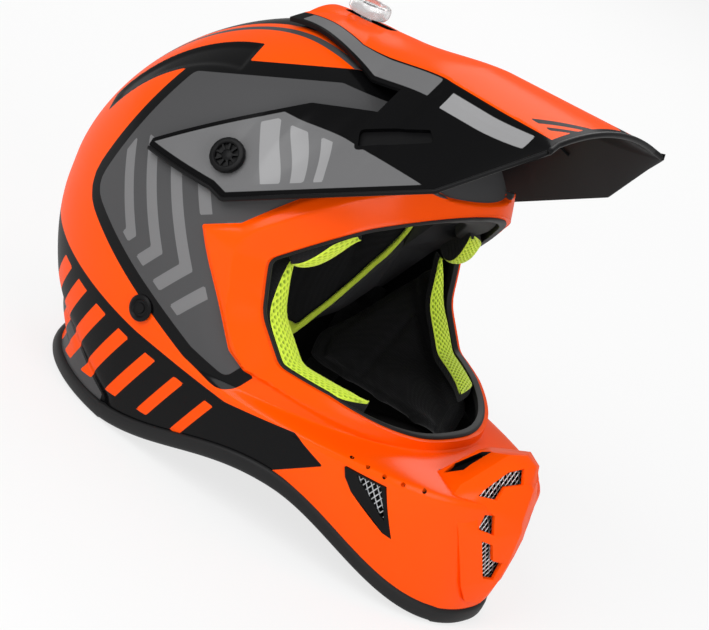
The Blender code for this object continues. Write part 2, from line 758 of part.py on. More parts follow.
def make_peak(root, pivot):
    """Sun peak: a middle tongue over the crown and two side arms, joined by a wing at the front."""
    rear_f, rear_h = PEAK_ARM_REAR
    tip_f, tip_h = PEAK_ARM_TIP
    top_f, top_h = PEAK_ARM_TOP
    corner_f, corner_h = PEAK_WING_CORNER[0], PEAK_WING_CORNER[2]
    front_f, front_x, front_h = PEAK_FRONT_CORNER
    arm_stations = [mix(rear_f, PEAK_JOIN, i / 6.0) for i in range(7)]
    wing_stations = [mix(PEAK_JOIN, corner_f, (i + 1) / 4.0) for i in range(4)]

    def arm_low(f):
        return rear_h if f < tip_f else mix(tip_h, corner_h, (f - tip_f) / (corner_f - tip_f))

    def arm_top(f):
        if f < top_f:
            return mix(rear_h + PEAK_ARM_HEEL, top_h, (f - rear_f) / (top_f - rear_f))
        foot = peak_across(PEAK_JOIN)[-1].z
        return mix(top_h, foot - PEAK_ARM_STEP, (f - top_f) / (PEAK_JOIN - top_f))

    bm = bmesh.new()
    arm = []
    for f in arm_stations:
        arm.append([bm.verts.new(arm_point(f, mix(arm_low(f), arm_top(f), i / 4.0))) for i in range(5)])
    wing = [arm[-1]]
    middle_stations = [mix(PEAK_REAR, PEAK_JOIN, i / 5.0) for i in range(5)] + [PEAK_JOIN] + wing_stations
    middle = [[bm.verts.new(p) for p in peak_across(f)] for f in middle_stations]
    for f in wing_stations:
        foot = middle[middle_stations.index(f)][-1].co
        low = arm_point(f, arm_low(f))
        wing.append([bm.verts.new(low.lerp(foot, 0.9 * i / 4.0)) for i in range(5)])
    front = [bm.verts.new(p) for p in peak_across(PEAK_FRONT)]
    corner = bm.verts.new(place(front_x, front_f, front_h))
    middle.append(front)
    for rows in (arm, wing, middle):
        for a, b in zip(rows, rows[1:]):
            for i in range(len(a) - 1):
                bm.faces.new((a[i], b[i], b[i + 1], a[i + 1]))
    join = middle_stations.index(PEAK_JOIN)
    for a, b, c, d in zip(wing, wing[1:], middle[join:], middle[join + 1:]):
        bm.faces.new((a[-1], b[-1], d[-1], c[-1]))
    last = wing[-1]
    bm.faces.new((last[4], corner, front[-1], middle[-2][-1]))
    for i in range(4):
        bm.faces.new((last[i], corner, last[i + 1]))

    mirrored = bmesh.ops.duplicate(bm, geom=bm.verts[:] + bm.edges[:] + bm.faces[:])["geom"]
    for item in mirrored:
        if isinstance(item, bmesh.types.BMVert):
            item.co.x = -item.co.x
    bmesh.ops.remove_doubles(bm, verts=bm.verts, dist=0.01 * MM)
    bmesh.ops.recalc_face_normals(bm, faces=bm.faces)
    if sum(face.normal.z for face in bm.faces) < 0.0:
        bmesh.ops.reverse_faces(bm, faces=bm.faces)
    peak = finish_sheet(bm, "peak", black_plastic(), root, pivot)

    bm = bmesh.new()
    for side in (-1.0, 1.0):
        centre, axis = screw_place(side)
        hole = SHANK + SHANK_CLEARANCE
        add_turned(bm, centre, axis, [(hole, -SCREW_HEAD), (hole, SCREW_HEAD)], 12)
    radius = Vector((KNOB_AT - PEAK_PIVOT[0], WIDEST_HEIGHT + CROWN_RISE - PEAK_PIVOT[1])).length
    ahead = radius * math.sin(math.radians(PEAK_TILT_BACK)) + SHANK_CLEARANCE
    behind = radius * math.sin(math.radians(PEAK_TILT_DOWN)) + SHANK_CLEARANCE
    half = SHANK + SHANK_CLEARANCE
    slot = []
    for i in range(12):
        angle = TURN * (i + 0.5) / 12
        shift = ahead if math.cos(angle) > 0.0 else -behind
        slot.append((half * math.sin(angle), KNOB_AT + shift + half * math.cos(angle)))
    low, high = WIDEST_HEIGHT + CROWN_RISE / 2.0, WIDEST_HEIGHT + 2.0 * CROWN_RISE
    add_prism(bm, slot, lambda p, end: place(p[0], p[1], (low, high)[end]))
    cut(peak, cutter(bm, "peak_fixing_cut", root))
    return peak


def finish_sheet(bm, name, finish_material, parent, hinge):
    """Finish an open sheet as an object whose wall grows inwards from it."""
    bmesh.ops.translate(bm, vec=-hinge, verts=bm.verts)
    mesh = bpy.data.meshes.new(name)
    bm.to_mesh(mesh)
    bm.free()
    mesh.materials.append(finish_material)
    made = bpy.data.objects.new(name, mesh)
    bpy.context.collection.objects.link(made)
    made.parent = parent
    made.location = hinge
    solid = made.modifiers.new("wall", "SOLIDIFY")
    solid.thickness = PEAK_WALL
    solid.offset = -1.0
    solid.use_even_offset = True
    return made


def make_peak_fixings(root):
    depth = INSERT_SEAT + PEAK_ARM_CLEARANCE + PEAK_WALL + SHELL_WALL
    for name, side in (("right", -1.0), ("left", 1.0)):
        hinge, axis = screw_place(side)
        bm = bmesh.new()
        seat = SCREW_SEAT
        add_turned(bm, hinge, axis, [(SHANK, -depth - INSERT_DEPTH), (SHANK, seat), (SCREW_HEAD, seat),
                                     (SCREW_HEAD, seat + SCREW_HEAD_DEPTH * 0.7),
                                     (SCREW_HEAD * 0.85, seat + SCREW_HEAD_DEPTH),
                                     (SCREW_HEAD * 0.6, seat + SCREW_HEAD_DEPTH),
                                     (SCREW_HEAD * 0.55, seat + SCREW_HEAD_DEPTH * 0.5)], 20)
        finish(bm, "peak_screw_" + name, black_plastic(), root, hinge)
        bm = bmesh.new()
        add_ring(bm, hinge - axis * depth, -axis, INSERT_DEPTH)
        finish(bm, "peak_insert_" + name, steel(), root)
    top = peak_crest(KNOB_AT) + KNOB_LIFT
    hinge = place(0.0, KNOB_AT, top)
    crown_inside = crown_top(0.0, KNOB_AT) - SHELL_WALL - INSERT_SEAT
    under = crown_inside - INSERT_DEPTH
    bm = bmesh.new()
    add_turned(bm, hinge, Vector((0, 0, 1)), [(SHANK, under - top), (SHANK, 0.0)], 12)
    knob = finish(bm, "peak_knob", clear_plastic(), root, hinge)
    bm = bmesh.new()
    overlap = 1.0 * MM
    profile = [(KNOB_RADIUS * 0.9, -0.0), (KNOB_RADIUS, KNOB_DEPTH * 0.3), (KNOB_RADIUS, KNOB_DEPTH * 0.7),
               (KNOB_RADIUS * 0.85, KNOB_DEPTH)]
    add_turned(bm, hinge, Vector((0, 0, 1)), profile, 24, KNOB_LOBES, overlap)
    cut(knob, cutter(bm, "knob_head", root), "UNION")
    bm = bmesh.new()
    add_ring(bm, place(0.0, KNOB_AT, crown_inside), Vector((0, 0, -1)), INSERT_DEPTH)
    finish(bm, "peak_insert_centre", steel(), root)


def add_ring(bm, centre, axis, depth):
    """A threaded insert: a plain ring with room for the shank."""
    hole = SHANK + SHANK_CLEARANCE
    across = axis.orthogonal().normalized()
    other = axis.cross(across)
    rings = []
    for i in range(12):
        angle = TURN * i / 12
        out = across * math.cos(angle) + other * math.sin(angle)
        shape = ((hole, 0.0), (INSERT_OUTER, 0.0), (INSERT_OUTER, depth), (hole, depth))
        rings.append([centre + out * r + axis * a for r, a in shape])
    add_rings(bm, rings)


def eps_edge(forward):
    """Height of the impact liner's lower edge, over the brow, past the cheek pads and at the back."""
    temple_f, temple_h = EPS_TEMPLE
    if forward > PORT_TOP_CORNER[0]:
        return PORT_TOP_CORNER[1] + (forward - PORT_TOP_CORNER[0]) * PORT_TOP_RISE + EPS_PORT_MARGIN
    return max(temple_h + (forward - temple_f) * EPS_SIDE_RISE, EPS_REAR_EDGE)


def edge_height(turn, inset, edge):
    height = WIDEST_HEIGHT
    for _ in range(12):
        height = mix(height, edge(-shell_point(turn, height, inset).y), 0.6)
    return height


def liner_stack(inset_at, edge_at, rows=5):
    """Rings of a liner surface from its top down to its own edge."""
    turns = [TURN * i / LINER_TURNS for i in range(LINER_TURNS)]
    top_inset = inset_at(0.0, 0.0)
    rise = CROWN_RISE - top_inset
    stack = [place(0.0, 0.0, WIDEST_HEIGHT + rise)]
    edges = [edge_at(turn) for turn in turns]
    for row in range(rows):
        share = (row + 1) / rows
        ring = []
        for turn, edge in zip(turns, edges):
            drop = 1.0 - (edge - WIDEST_HEIGHT) / rise
            height = WIDEST_HEIGHT + rise * (1.0 - drop * share ** 1.6)
            ring.append(shell_point(turn, height, inset_at(turn, share)))
        stack.append(ring)
    return stack


def add_strap_pockets(bm):
    """Room behind the impact liner for the upper end of each strap and its rivet."""
    forward, height = RIVET_AT
    half = STRAP_WIDTH / 2.0 + LINER_GAP
    low, high = EPS_REAR_EDGE - STRAP_WIDTH, height + half
    outline = [(forward - half, low), (forward + half, low), (forward + half, high), (forward - half, high)]
    depth = SHELL_WALL + STRAP_STAND + STRAP_WALL + RIVET_DEPTH + 2.0 * LINER_GAP
    span = (half_width(forward, height - half, depth), 1.2 * HALF_WIDTH)
    for side in (-1.0, 1.0):
        add_prism(bm, outline, lambda p, end: place(side * span[end], p[0], p[1]))


def make_liners(root):
    outer = SHELL_WALL + LINER_GAP
    inner = outer + EPS_WALL

    def eps_line(turn):
        return edge_height(turn, outer, eps_edge)

    bm = bmesh.new()
    add_bowl(bm, liner_stack(lambda t, s: outer, eps_line), liner_stack(lambda t, s: inner, eps_line))
    eps = finish(bm, "eps_liner", grey_foam(), root)
    bm = bmesh.new()
    pocket = INSERT_OUTER + LINER_GAP
    depth = SHELL_WALL + INSERT_SEAT + INSERT_DEPTH + 2.0 * LINER_GAP
    for side in (-1.0, 1.0):
        centre, axis = screw_place(side)
        over = PEAK_ARM_CLEARANCE + PEAK_WALL
        add_turned(bm, centre, axis, [(pocket, -depth - over), (pocket, depth)], 12)
    add_turned(bm, place(0.0, KNOB_AT, WIDEST_HEIGHT + CROWN_RISE - depth), Vector((0, 0, 1)),
               [(pocket, 0.0), (pocket, 2.0 * depth)], 12)
    add_strap_pockets(bm)
    cut(eps, cutter(bm, "liner_pocket", root))

    start = inner + CROWN_PAD_GAP

    def pad_line(turn):
        return eps_line(turn) + CROWN_PAD_RISE

    def pad_inset(turn, share):
        seam = abs(math.cos(3.0 * turn)) ** 0.5
        drawn = 1.0 - 0.6 * smooth((share - 0.75) / 0.25)
        return start + (CROWN_PAD_WALL - CROWN_PAD_SEAM * (1.0 - seam) * smooth(share * 2.0)) * drawn

    bm = bmesh.new()
    add_bowl(bm, liner_stack(lambda t, s: start, pad_line), liner_stack(pad_inset, pad_line))
    finish(bm, "crown_pad", black_cloth(), root)

    bm = bmesh.new()
    turns = [TURN * i / LINER_TURNS for i in range(LINER_TURNS)]
    middle = [shell_point(t, pad_line(t) - HEM_RADIUS - FIT_GAP, start + HEM_RADIUS) for t in turns]
    rings = []
    for turn, p in zip(turns, middle):
        out = Vector((math.sin(turn), -math.cos(turn), 0.0))
        ring = []
        for i in range(6):
            angle = TURN * i / 6
            ring.append(p + (out * math.cos(angle) + Vector((0, 0, 1)) * math.sin(angle)) * HEM_RADIUS)
        rings.append(ring)
    add_rings(bm, rings)
    finish(bm, "liner_hem", lime_cloth(), root)


def make_chin_foam(root):
    outer = SHELL_WALL + FIT_GAP
    inner = outer + CHIN_FOAM_WALL
    bm = bmesh.new()
    rings = []
    steps = 12
    for i in range(steps + 1):
        turn = mix(-CHIN_FOAM_TURN, CHIN_FOAM_TURN, i / steps)
        low = max(CHIN_FOAM_LOW, rim_height(turn, TRIM_HEIGHT) + 2.0 * MM)
        ring = [(outer, low), (outer, mix(low, CHIN_FOAM_TOP, 0.5)), (outer, CHIN_FOAM_TOP)]
        ring += [(inner, CHIN_FOAM_TOP - CHIN_FOAM_SLOPE), (inner, low)]
        rings.append([shell_point(turn, height, inset) for inset, height in ring])
    add_rings(bm, rings, round_trip=False, caps=True)
    foam = finish(bm, "chin_foam", grey_foam(), root)
    bm = bmesh.new()
    low, high = CHIN_FOAM_LOW + CHIN_FOAM_WEB, CHIN_FOAM_TOP - CHIN_FOAM_SLOPE - CHIN_FOAM_WEB / 2.0
    airway = [(-AIRWAY_HALF_WIDTH, low), (AIRWAY_HALF_WIDTH, low)]
    airway += [(AIRWAY_HALF_WIDTH, high), (-AIRWAY_HALF_WIDTH, high)]
    span = (NOSE_ROOT - 3.0 * CHIN_FOAM_WALL, CHIN_REACH * 1.1)
    add_prism(bm, airway, lambda p, end: place(p[0], span[end], p[1]))
    cut(foam, cutter(bm, "airway_cut", root))


def cheek_outline():
    """The cheek pad seen from the side, kept clear of the impact liner, the eyeport strip and the rim."""
    low_f, low_h = PORT_LOW_CORNER
    top_f, top_h = PORT_TOP_CORNER
    clear = STRIP_DEPTH + 2.0 * MM
    roof = 8.0 * MM
    floor = CHEEK_FLOOR
    corners = [(CHEEK_REAR, eps_edge(CHEEK_REAR) - roof, 10.0 * MM)]
    corners.append((top_f - 14.0 * MM, top_h - roof, 6.0 * MM))
    corners.append((low_f - 4.0 * MM, low_h - clear, 8.0 * MM))
    corners.append((CHEEK_STRIP_FRONT, PORT_LIP - 2.0 * MM, 5.0 * MM))
    corners.append((CHEEK_STRIP_FRONT - 2.0 * MM, floor + 8.0 * MM, 12.0 * MM))
    corners.append((CHEEK_REAR + 4.0 * MM, floor, 14.0 * MM))
    return round_outline(corners, steps=3)


def make_cheek_pads(root):
    """Crowned cheek pads, flat against the shell with a channel for the strap behind them."""
    outline = cheek_outline()
    centre = Vector(CHEEK_CENTRE)
    rings_at = (1.0, 0.8, 0.45)
    seat = SHELL_WALL + LINER_GAP
    strap_room = STRAP_STAND + STRAP_WALL + LINER_GAP

    def back_face(p):
        near = 1.0 - abs(p.x - RIVET_AT[0]) / (STRAP_WIDTH * 1.2)
        wall = min(wall_point(p.x, h, 1.0, seat).x for h in (p.y, max(p.y, SHELF_TOP)))
        return wall - strap_room * smooth(near * 2.2)

    for name, side in (("right", -1.0), ("left", 1.0)):
        bm = bmesh.new()
        rings = []
        for share in reversed(rings_at[1:]):
            spots = [centre.lerp(p, share) for p in outline]
            rings.append([place(side * back_face(q), q.x, q.y) for q in spots])
        rings.append([place(side * back_face(q), q.x, q.y) for q in outline])
        drawn = [centre.lerp(p, 0.985) for p in outline]
        rings.append([place(side * (back_face(q) - CHEEK_EDGE_DEPTH), q.x, q.y) for q in drawn])
        for share in rings_at[1:]:
            crown = CHEEK_EDGE_DEPTH + (CHEEK_CROWN - CHEEK_EDGE_DEPTH) * (1.0 - share ** 2.5)
            spots = [centre.lerp(p, share) for p in outline]
            rings.append([place(side * (back_face(q) - crown), q.x, q.y) for q in spots])
        add_rings(bm, rings, round_trip=False, caps=True)
        finish(bm, "cheek_pad_" + name, black_cloth(), root)


def make_neck_roll(root):
    bm = bmesh.new()
    rings = []
    steps = 14
    for i in range(steps + 1):
        t = i / steps
        turn = math.pi + mix(-NECK_ROLL_TURN, NECK_ROLL_TURN, t)
        plump = max(math.sin(math.pi * mix(0.08, 0.92, t)), 0.0) ** 0.4
        deep, tall = NECK_ROLL_HALF_DEPTH * plump, NECK_ROLL_HALF_HEIGHT * plump
        ring = []
        for k in range(10):
            angle = TURN * k / 10
            height = NECK_ROLL_HEIGHT + tall * math.sin(angle)
            inset = SHELL_WALL + FIT_GAP * 2.0 + NECK_ROLL_HALF_DEPTH * 1.25 + deep * math.cos(angle)
            ring.append(shell_point(turn, height, inset))
        rings.append(ring)
    add_rings(bm, rings, round_trip=False, caps=True)
    finish(bm, "neck_roll", black_cloth(), root)


def make_mouthpiece(root):
    tip_f, tip_h = NOSE_TIP
    front_f, front_h = NOSE_FRONT
    corner_x, corner_f, corner_h = NOSE_CORNER
    foot_x, foot_f, foot_h = NOSE_FOOT
    points = [(0.0, tip_f, tip_h), (0.0, front_f, front_h), (0.0, NOSE_FOOT_FRONT, foot_h)]
    points += [(0.0, NOSE_ROOT, SHELF_TOP + NOSE_SEAT_RISE), (0.0, NOSE_ROOT, foot_h + NOSE_UNDERCUT)]
    for side in (-1.0, 1.0):
        points.append((side * corner_x, corner_f, corner_h))
        points.append((side * (corner_x - NOSE_CHEEK_IN), corner_f + NOSE_CHEEK_REACH, front_h))
        points.append((side * foot_x, foot_f, foot_h))
        points.append((side * corner_x * 0.9, NOSE_ROOT, corner_h - NOSE_SEAT_DROP))
        points.append((side * foot_x, NOSE_ROOT, foot_h + NOSE_UNDERCUT))
    bm = bmesh.new()
    verts = [bm.verts.new(place(*p)) for p in points]
    hull = bmesh.ops.convex_hull(bm, input=verts)
    loose = {v for v in hull["geom_interior"] + hull["geom_unused"] if isinstance(v, bmesh.types.BMVert)}
    bmesh.ops.delete(bm, geom=list(loose), context="VERTS")
    mouthpiece = finish(bm, "mouthpiece", orange_paint(), root)
    cut(mouthpiece, cutter(shell_body(-FIT_GAP), "nose_seat", root))
    bm = bmesh.new()
    for side in (-1.0, 1.0):
        for slot in MOUTH_SLOTS:
            outline = [(side * x * MM, h * MM) for x, h in slot]
            add_prism(bm, outline, lambda p, end: place(p[0], (NOSE_ROOT, CHIN_REACH * 1.2)[end], p[1]))
    cut(mouthpiece, cutter(bm, "mouth_slot_cut", root))


def make_mouth_mesh(root):
    """A wire mesh filling the mouth opening in the shell's wall."""
    half = MOUTH_HALF_WIDTH - FIT_GAP
    low, high = MOUTH_LOW + FIT_GAP, MOUTH_TOP - FIT_GAP
    columns, rows = 6, 4
    step_x = (2.0 * half - MESH_BAR) / columns
    step_h = (high - low - MESH_BAR) / rows

    def at(x, h, inset):
        wide, front, _, power = section(h, inset)
        return place(x, front * (1.0 - (abs(x) / wide) ** power) ** (1.0 / power), h)

    def line(step, origin, count):
        places = []
        for i in range(count + 1):
            places += [origin + step * i, origin + step * i + MESH_BAR]
        return places

    xs, hs = line(step_x, -half, columns), line(step_h, low, rows)
    bm = bmesh.new()
    grid = {}
    for end, inset in enumerate((MESH_DEPTH, MESH_DEPTH + MESH_WALL)):
        for i, x in enumerate(xs):
            for j, h in enumerate(hs):
                grid[i, j, end] = bm.verts.new(at(x, h, inset))
    solid = {(i, j) for i in range(len(xs) - 1) for j in range(len(hs) - 1) if i % 2 == 0 or j % 2 == 0}
    add_lattice(bm, grid, solid)
    finish(bm, "mouth_mesh", steel(), root)


def add_lattice(bm, grid, solid):
    """A plate of square cells between two layers of a grid, with the cells that aren't solid left open."""
    for i, j in solid:
        ring = ((i, j), (i + 1, j), (i + 1, j + 1), (i, j + 1))
        for end in (0, 1):
            bm.faces.new([grid[a, b, end] for a, b in ring])
        neighbours = ((i, j - 1), (i + 1, j), (i, j + 1), (i - 1, j))
        for k, neighbour in enumerate(neighbours):
            if neighbour not in solid:
                a, b = ring[k], ring[(k + 1) % 4]
                bm.faces.new((grid[a + (0,)], grid[b + (0,)], grid[b + (1,)], grid[a + (1,)]))


def mesh_hole_places(outline):
    """Places on a square grid that lie well inside an outline seen from the side."""
    ring = outline + outline[:1]
    middle = sum(outline, Vector((0.0, 0.0))) / len(outline)
    steps = range(-MESH_HOLE_REACH, MESH_HOLE_REACH + 1)
    places = []
    for column in steps:
        for row in steps:
            spot = middle + Vector((column, row)) * MESH_HOLE_STEP
            sides = [(b - a).cross(spot - a) < 0.0 for a, b in zip(ring, ring[1:])]
            if all(sides) and distance_to_outline(spot, ring) > MESH_HOLE + MESH_BAR:
                places.append(spot)
    return places


def make_side_vents(root):
    """A framed vent in each flank, with a perforated plate in the frame."""
    outer = side_vent_outline(0.0)
    inner = side_vent_outline(-SIDE_VENT_FRAME)
    plate = side_vent_outline(-SIDE_VENT_FRAME - FIT_GAP)
    for name, side in (("right", -1.0), ("left", 1.0)):
        bm = bmesh.new()
        rings = []
        for a, b in zip(outer, inner):
            shape = ((a, -SIDE_VENT_PROUD), (b, -SIDE_VENT_PROUD), (b, SHELL_WALL), (a, SHELL_WALL))
            rings.append([place(side * half_width(p.x, p.y, inset), p.x, p.y) for p, inset in shape])
        add_rings(bm, rings)
        finish(bm, "side_vent_" + name, black_plastic(), root)
        bm = bmesh.new()
        layers = []
        for inset in (MESH_DEPTH, MESH_DEPTH + MESH_WALL):
            layers.append([place(side * half_width(p.x, p.y, inset), p.x, p.y) for p in plate])
        add_rings(bm, layers, round_trip=False, caps=True)
        mesh = finish(bm, "side_mesh_" + name, steel(), root)
        bm = bmesh.new()
        for spot in mesh_hole_places(plate):
            hole = [spot + Vector(way) * MESH_HOLE for way in ((-1, 0), (0, 1), (1, 0), (0, -1))]
            side_prism(bm, hole, side * HALF_WIDTH / 3.0, side * HALF_WIDTH)
        cut(mesh, cutter(bm, "side_mesh_holes_" + name, root))


def strap_route(end):
    """Middle line of the strap seen from the front: down inside the shell, then under the jaw."""
    forward, height = RIVET_AT
    offset = SHELL_WALL + STRAP_STAND + STRAP_WALL / 2.0
    points = []
    for i in range(6):
        h = mix(height + STRAP_WIDTH / 2.0, STRAP_TURN_HEIGHT + STRAP_BEND, i / 5.0)
        points.append(Vector((half_width(forward, h, offset), h)))
    last = points[-1]
    centre = Vector((last.x - STRAP_BEND, last.y))
    for i in range(1, 6):
        angle = math.radians(90.0) * i / 5.0
        p = centre + Vector((math.cos(angle), -math.sin(angle))) * STRAP_BEND
        points.append(Vector((min(p.x, half_width(forward, p.y, offset)), p.y)))
    points.append(Vector((end, STRAP_TURN_HEIGHT)))
    return points


def add_strap(bm, side, end):
    route = strap_route(end)
    forward = RIVET_AT[0]
    rings = []
    for i, p in enumerate(route):
        before, after = route[max(i - 1, 0)], route[min(i + 1, len(route) - 1)]
        along = (after - before).normalized()
        away = Vector((along.y, -along.x)) * STRAP_WALL / 2.0
        ring = []
        for q, f in ((p + away, -1), (p + away, 1), (p - away, 1), (p - away, -1)):
            ring.append(place(side * q.x, forward + f * STRAP_WIDTH / 2.0, q.y))
        rings.append(ring)
    add_rings(bm, rings, round_trip=False, caps=True)


def make_straps(root):
    forward, height = RIVET_AT
    shell_face = half_width(forward, height)
    offset = SHELL_WALL + STRAP_STAND + STRAP_WALL / 2.0
    for name, side, end in (("right", -1.0, -STRAP_LONG_END), ("left", 1.0, STRAP_SHORT_END)):
        bm = bmesh.new()
        add_strap(bm, side, end)
        strap = finish(bm, "chin_strap_" + name, black_cloth(), root)
        bm = bmesh.new()
        add_turned(bm, place(side * HALF_WIDTH / 2.0, forward, height), Vector((side, 0, 0)),
                   [(RIVET_SHANK + FIT_GAP, 0.0), (RIVET_SHANK + FIT_GAP, HALF_WIDTH)], 12)
        cut(strap, cutter(bm, "strap_hole_" + name, root))
        inner_face = half_width(forward, height, offset + STRAP_WALL / 2.0 + LINER_GAP)
        bm = bmesh.new()
        tail = inner_face - shell_face
        add_turned(bm, place(side * shell_face, forward, height), Vector((side, 0, 0)),
                   [(RIVET_HEAD * 0.6, tail), (RIVET_HEAD * 0.6, tail + RIVET_WASHER),
                    (RIVET_SHANK, tail + RIVET_WASHER * 1.2), (RIVET_SHANK, FIT_GAP * 2.0),
                    (RIVET_HEAD, FIT_GAP * 2.0), (RIVET_HEAD, RIVET_DEPTH * 0.6),
                    (RIVET_HEAD * 0.8, RIVET_DEPTH)], 16)
        finish(bm, "strap_rivet_" + name, black_plastic(), root)


def d_ring_path():
    """A D seen from above, with its straight bar along the strap's width and its bow to the middle."""
    half = RING_WIDTH / 2.0
    points = [Vector((0.0, -half)), Vector((0.0, 0.0)), Vector((0.0, half))]
    for i in range(7):
        angle = math.pi / 2.0 - math.pi * i / 6.0
        reach = RING_REACH * (0.45 + 0.55 * math.cos(angle))
        points.append(Vector((-reach, half * math.sin(angle))))
    return points


def make_d_rings(root):
    """Two wire D-rings held in a webbing loop at the end of the short strap."""
    forward = RIVET_AT[0]
    room = RING_WIRE + FIT_GAP
    wall = STRAP_WALL
    bar = STRAP_SHORT_END - room - wall - FIT_GAP
    path = d_ring_path()
    for k, name in enumerate(("d_ring_upper", "d_ring_lower")):
        hinge = place(bar, forward, STRAP_TURN_HEIGHT + (0.5 - k) * RING_STEP)
        bm = bmesh.new()
        rings = []
        for i, p in enumerate(path):
            along = (path[(i + 1) % len(path)] - path[i - 1]).normalized()
            out = Vector((along.y, -along.x))
            ring = []
            for s in range(8):
                angle = TURN * s / 8
                q = p + out * math.cos(angle) * RING_WIRE
                ring.append(hinge + Vector((q.x, q.y, math.sin(angle) * RING_WIRE)))
            rings.append(ring)
        add_rings(bm, rings)
        finish(bm, name, steel(), root, hinge)
    bm = bmesh.new()
    tall = RING_STEP / 2.0 + room
    shape = round_outline([(-room - wall, -tall - wall, 2.0 * MM), (room + wall, -tall - wall, 2.0 * MM),
                           (room + wall, tall + wall, 2.0 * MM), (-room - wall, tall + wall, 2.0 * MM)], 2)
    hole = round_outline([(-room, -tall, room * 0.6), (room, -tall, room * 0.6),
                          (room, tall, room * 0.6), (-room, tall, room * 0.6)], 2)
    loop_half = RING_WIDTH / 2.0 - RING_WIRE * 2.0
    rings = []
    for a, b in zip(shape, hole):
        ring = []
        for p, f in ((a, -loop_half), (b, -loop_half), (b, loop_half), (a, loop_half)):
            ring.append(place(bar + p.x, forward + f, STRAP_TURN_HEIGHT + p.y))
        rings.append(ring)
    add_rings(bm, rings)
    finish(bm, "ring_loop", black_cloth(), root)


def stand_on_table(root):
    """Move the whole helmet so that its box stands on the origin, centred."""
    bpy.context.view_layer.update()
    graph = bpy.context.evaluated_depsgraph_get()
    low, high = Vector((math.inf,) * 3), Vector((-math.inf,) * 3)
    for item in root.children_recursive:
        if item.type != "MESH" or item.hide_render:
            continue
        ready = item.evaluated_get(graph)
        for vertex in ready.data.vertices:
            point = item.matrix_world @ vertex.co
            low = Vector(map(min, low, point))
            high = Vector(map(max, high, point))
    root.location = Vector((0.0, -(low.y + high.y) / 2.0, -low.z))
    bpy.context.view_layer.update()
    print("box in mm", [round(v / MM, 2) for v in high - low])


def main():
    clear_scene()
    root = bpy.data.objects.new("helmet", None)
    root.rotation_euler.x = -REST_TILT
    bpy.context.collection.objects.link(root)
    pivot = place(0.0, *PEAK_PIVOT)
    make_shell(root)
    make_rim_trim(root)
    make_gasket(root)
    make_edge_strips(root)
    make_peak(root, pivot)
    make_peak_fixings(root)
    make_liners(root)
    make_chin_foam(root)
    make_cheek_pads(root)
    make_neck_roll(root)
    make_mouthpiece(root)
    make_mouth_mesh(root)
    make_side_vents(root)
    make_straps(root)
    make_d_rings(root)
    stand_on_table(root)


main()
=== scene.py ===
# %% [markdown]
# A motocross helmet for a studio portrait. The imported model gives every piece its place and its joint.
# Here each piece gets the form and the finish that the eye sees: a painted shell, a moulded peak, rubber
# edging, steel mesh, lining cloth and webbing.

# %% Load the frame
import json
import math

import bmesh
import bpy
import numpy as np
from mathutils import Matrix, Vector


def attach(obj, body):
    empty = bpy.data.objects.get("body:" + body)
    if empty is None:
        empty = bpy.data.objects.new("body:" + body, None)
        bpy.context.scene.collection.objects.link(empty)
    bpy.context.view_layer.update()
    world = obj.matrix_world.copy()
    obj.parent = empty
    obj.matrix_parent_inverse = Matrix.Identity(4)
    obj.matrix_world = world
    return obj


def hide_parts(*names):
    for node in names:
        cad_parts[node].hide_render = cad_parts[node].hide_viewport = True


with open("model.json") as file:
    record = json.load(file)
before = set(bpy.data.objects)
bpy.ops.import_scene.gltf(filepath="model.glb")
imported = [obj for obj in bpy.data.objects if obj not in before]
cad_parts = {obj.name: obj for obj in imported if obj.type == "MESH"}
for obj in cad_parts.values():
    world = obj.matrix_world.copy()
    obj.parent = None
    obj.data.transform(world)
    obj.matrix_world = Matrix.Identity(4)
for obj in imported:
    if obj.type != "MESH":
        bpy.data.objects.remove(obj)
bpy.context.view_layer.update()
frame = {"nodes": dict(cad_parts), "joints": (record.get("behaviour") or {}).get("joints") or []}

MM = 0.001
TURN = 2.0 * math.pi
TINY = 1e-9

# %% [markdown]
# The helmet leans back on its rim, so it is drawn in its own upright frame, in millimetres as (across,
# forward, height), and then laid into the model's frame. The peak's hinge fixes the lean: its place is
# known in both.

# %% The helmet's own frame
LEAN_ANGLE = 4.9
PIVOT = (0.0, 15.0, 182.0)
FORWARD_FLIP = np.array((1.0, -1.0, 1.0))
LEAN = Matrix.Rotation(math.radians(-LEAN_ANGLE), 3, "X")
hinge = next(joint for joint in frame["joints"] if joint["name"] == "peak_tilt")
SHIFT = Vector(hinge["pos_m"]) - LEAN @ Vector(PIVOT * FORWARD_FLIP) * MM


def to_row(points):
    """Points (across, forward, height) in millimetres, as metres in the model's frame."""
    flipped = np.asarray(points, float) * FORWARD_FLIP * MM
    return flipped @ np.array(LEAN).T + np.array(SHIFT)


def from_row(points):
    """The other way: metres in the model's frame to (across, forward, height) in millimetres."""
    upright = (np.asarray(points, float) - np.array(SHIFT)) @ np.array(LEAN)
    return upright / MM * FORWARD_FLIP


print("own frame starts at", [round(v / MM, 2) for v in SHIFT], "mm")

# %% [markdown]
# One function describes the shell: at each height it gives the half width, the reach to the front and
# rear, and how square the section is. A mesh could be sculpted by hand, but a formula stays true to the
# solid underneath and can be sampled as finely as the paint needs. The widest level is the reference for
# heights.

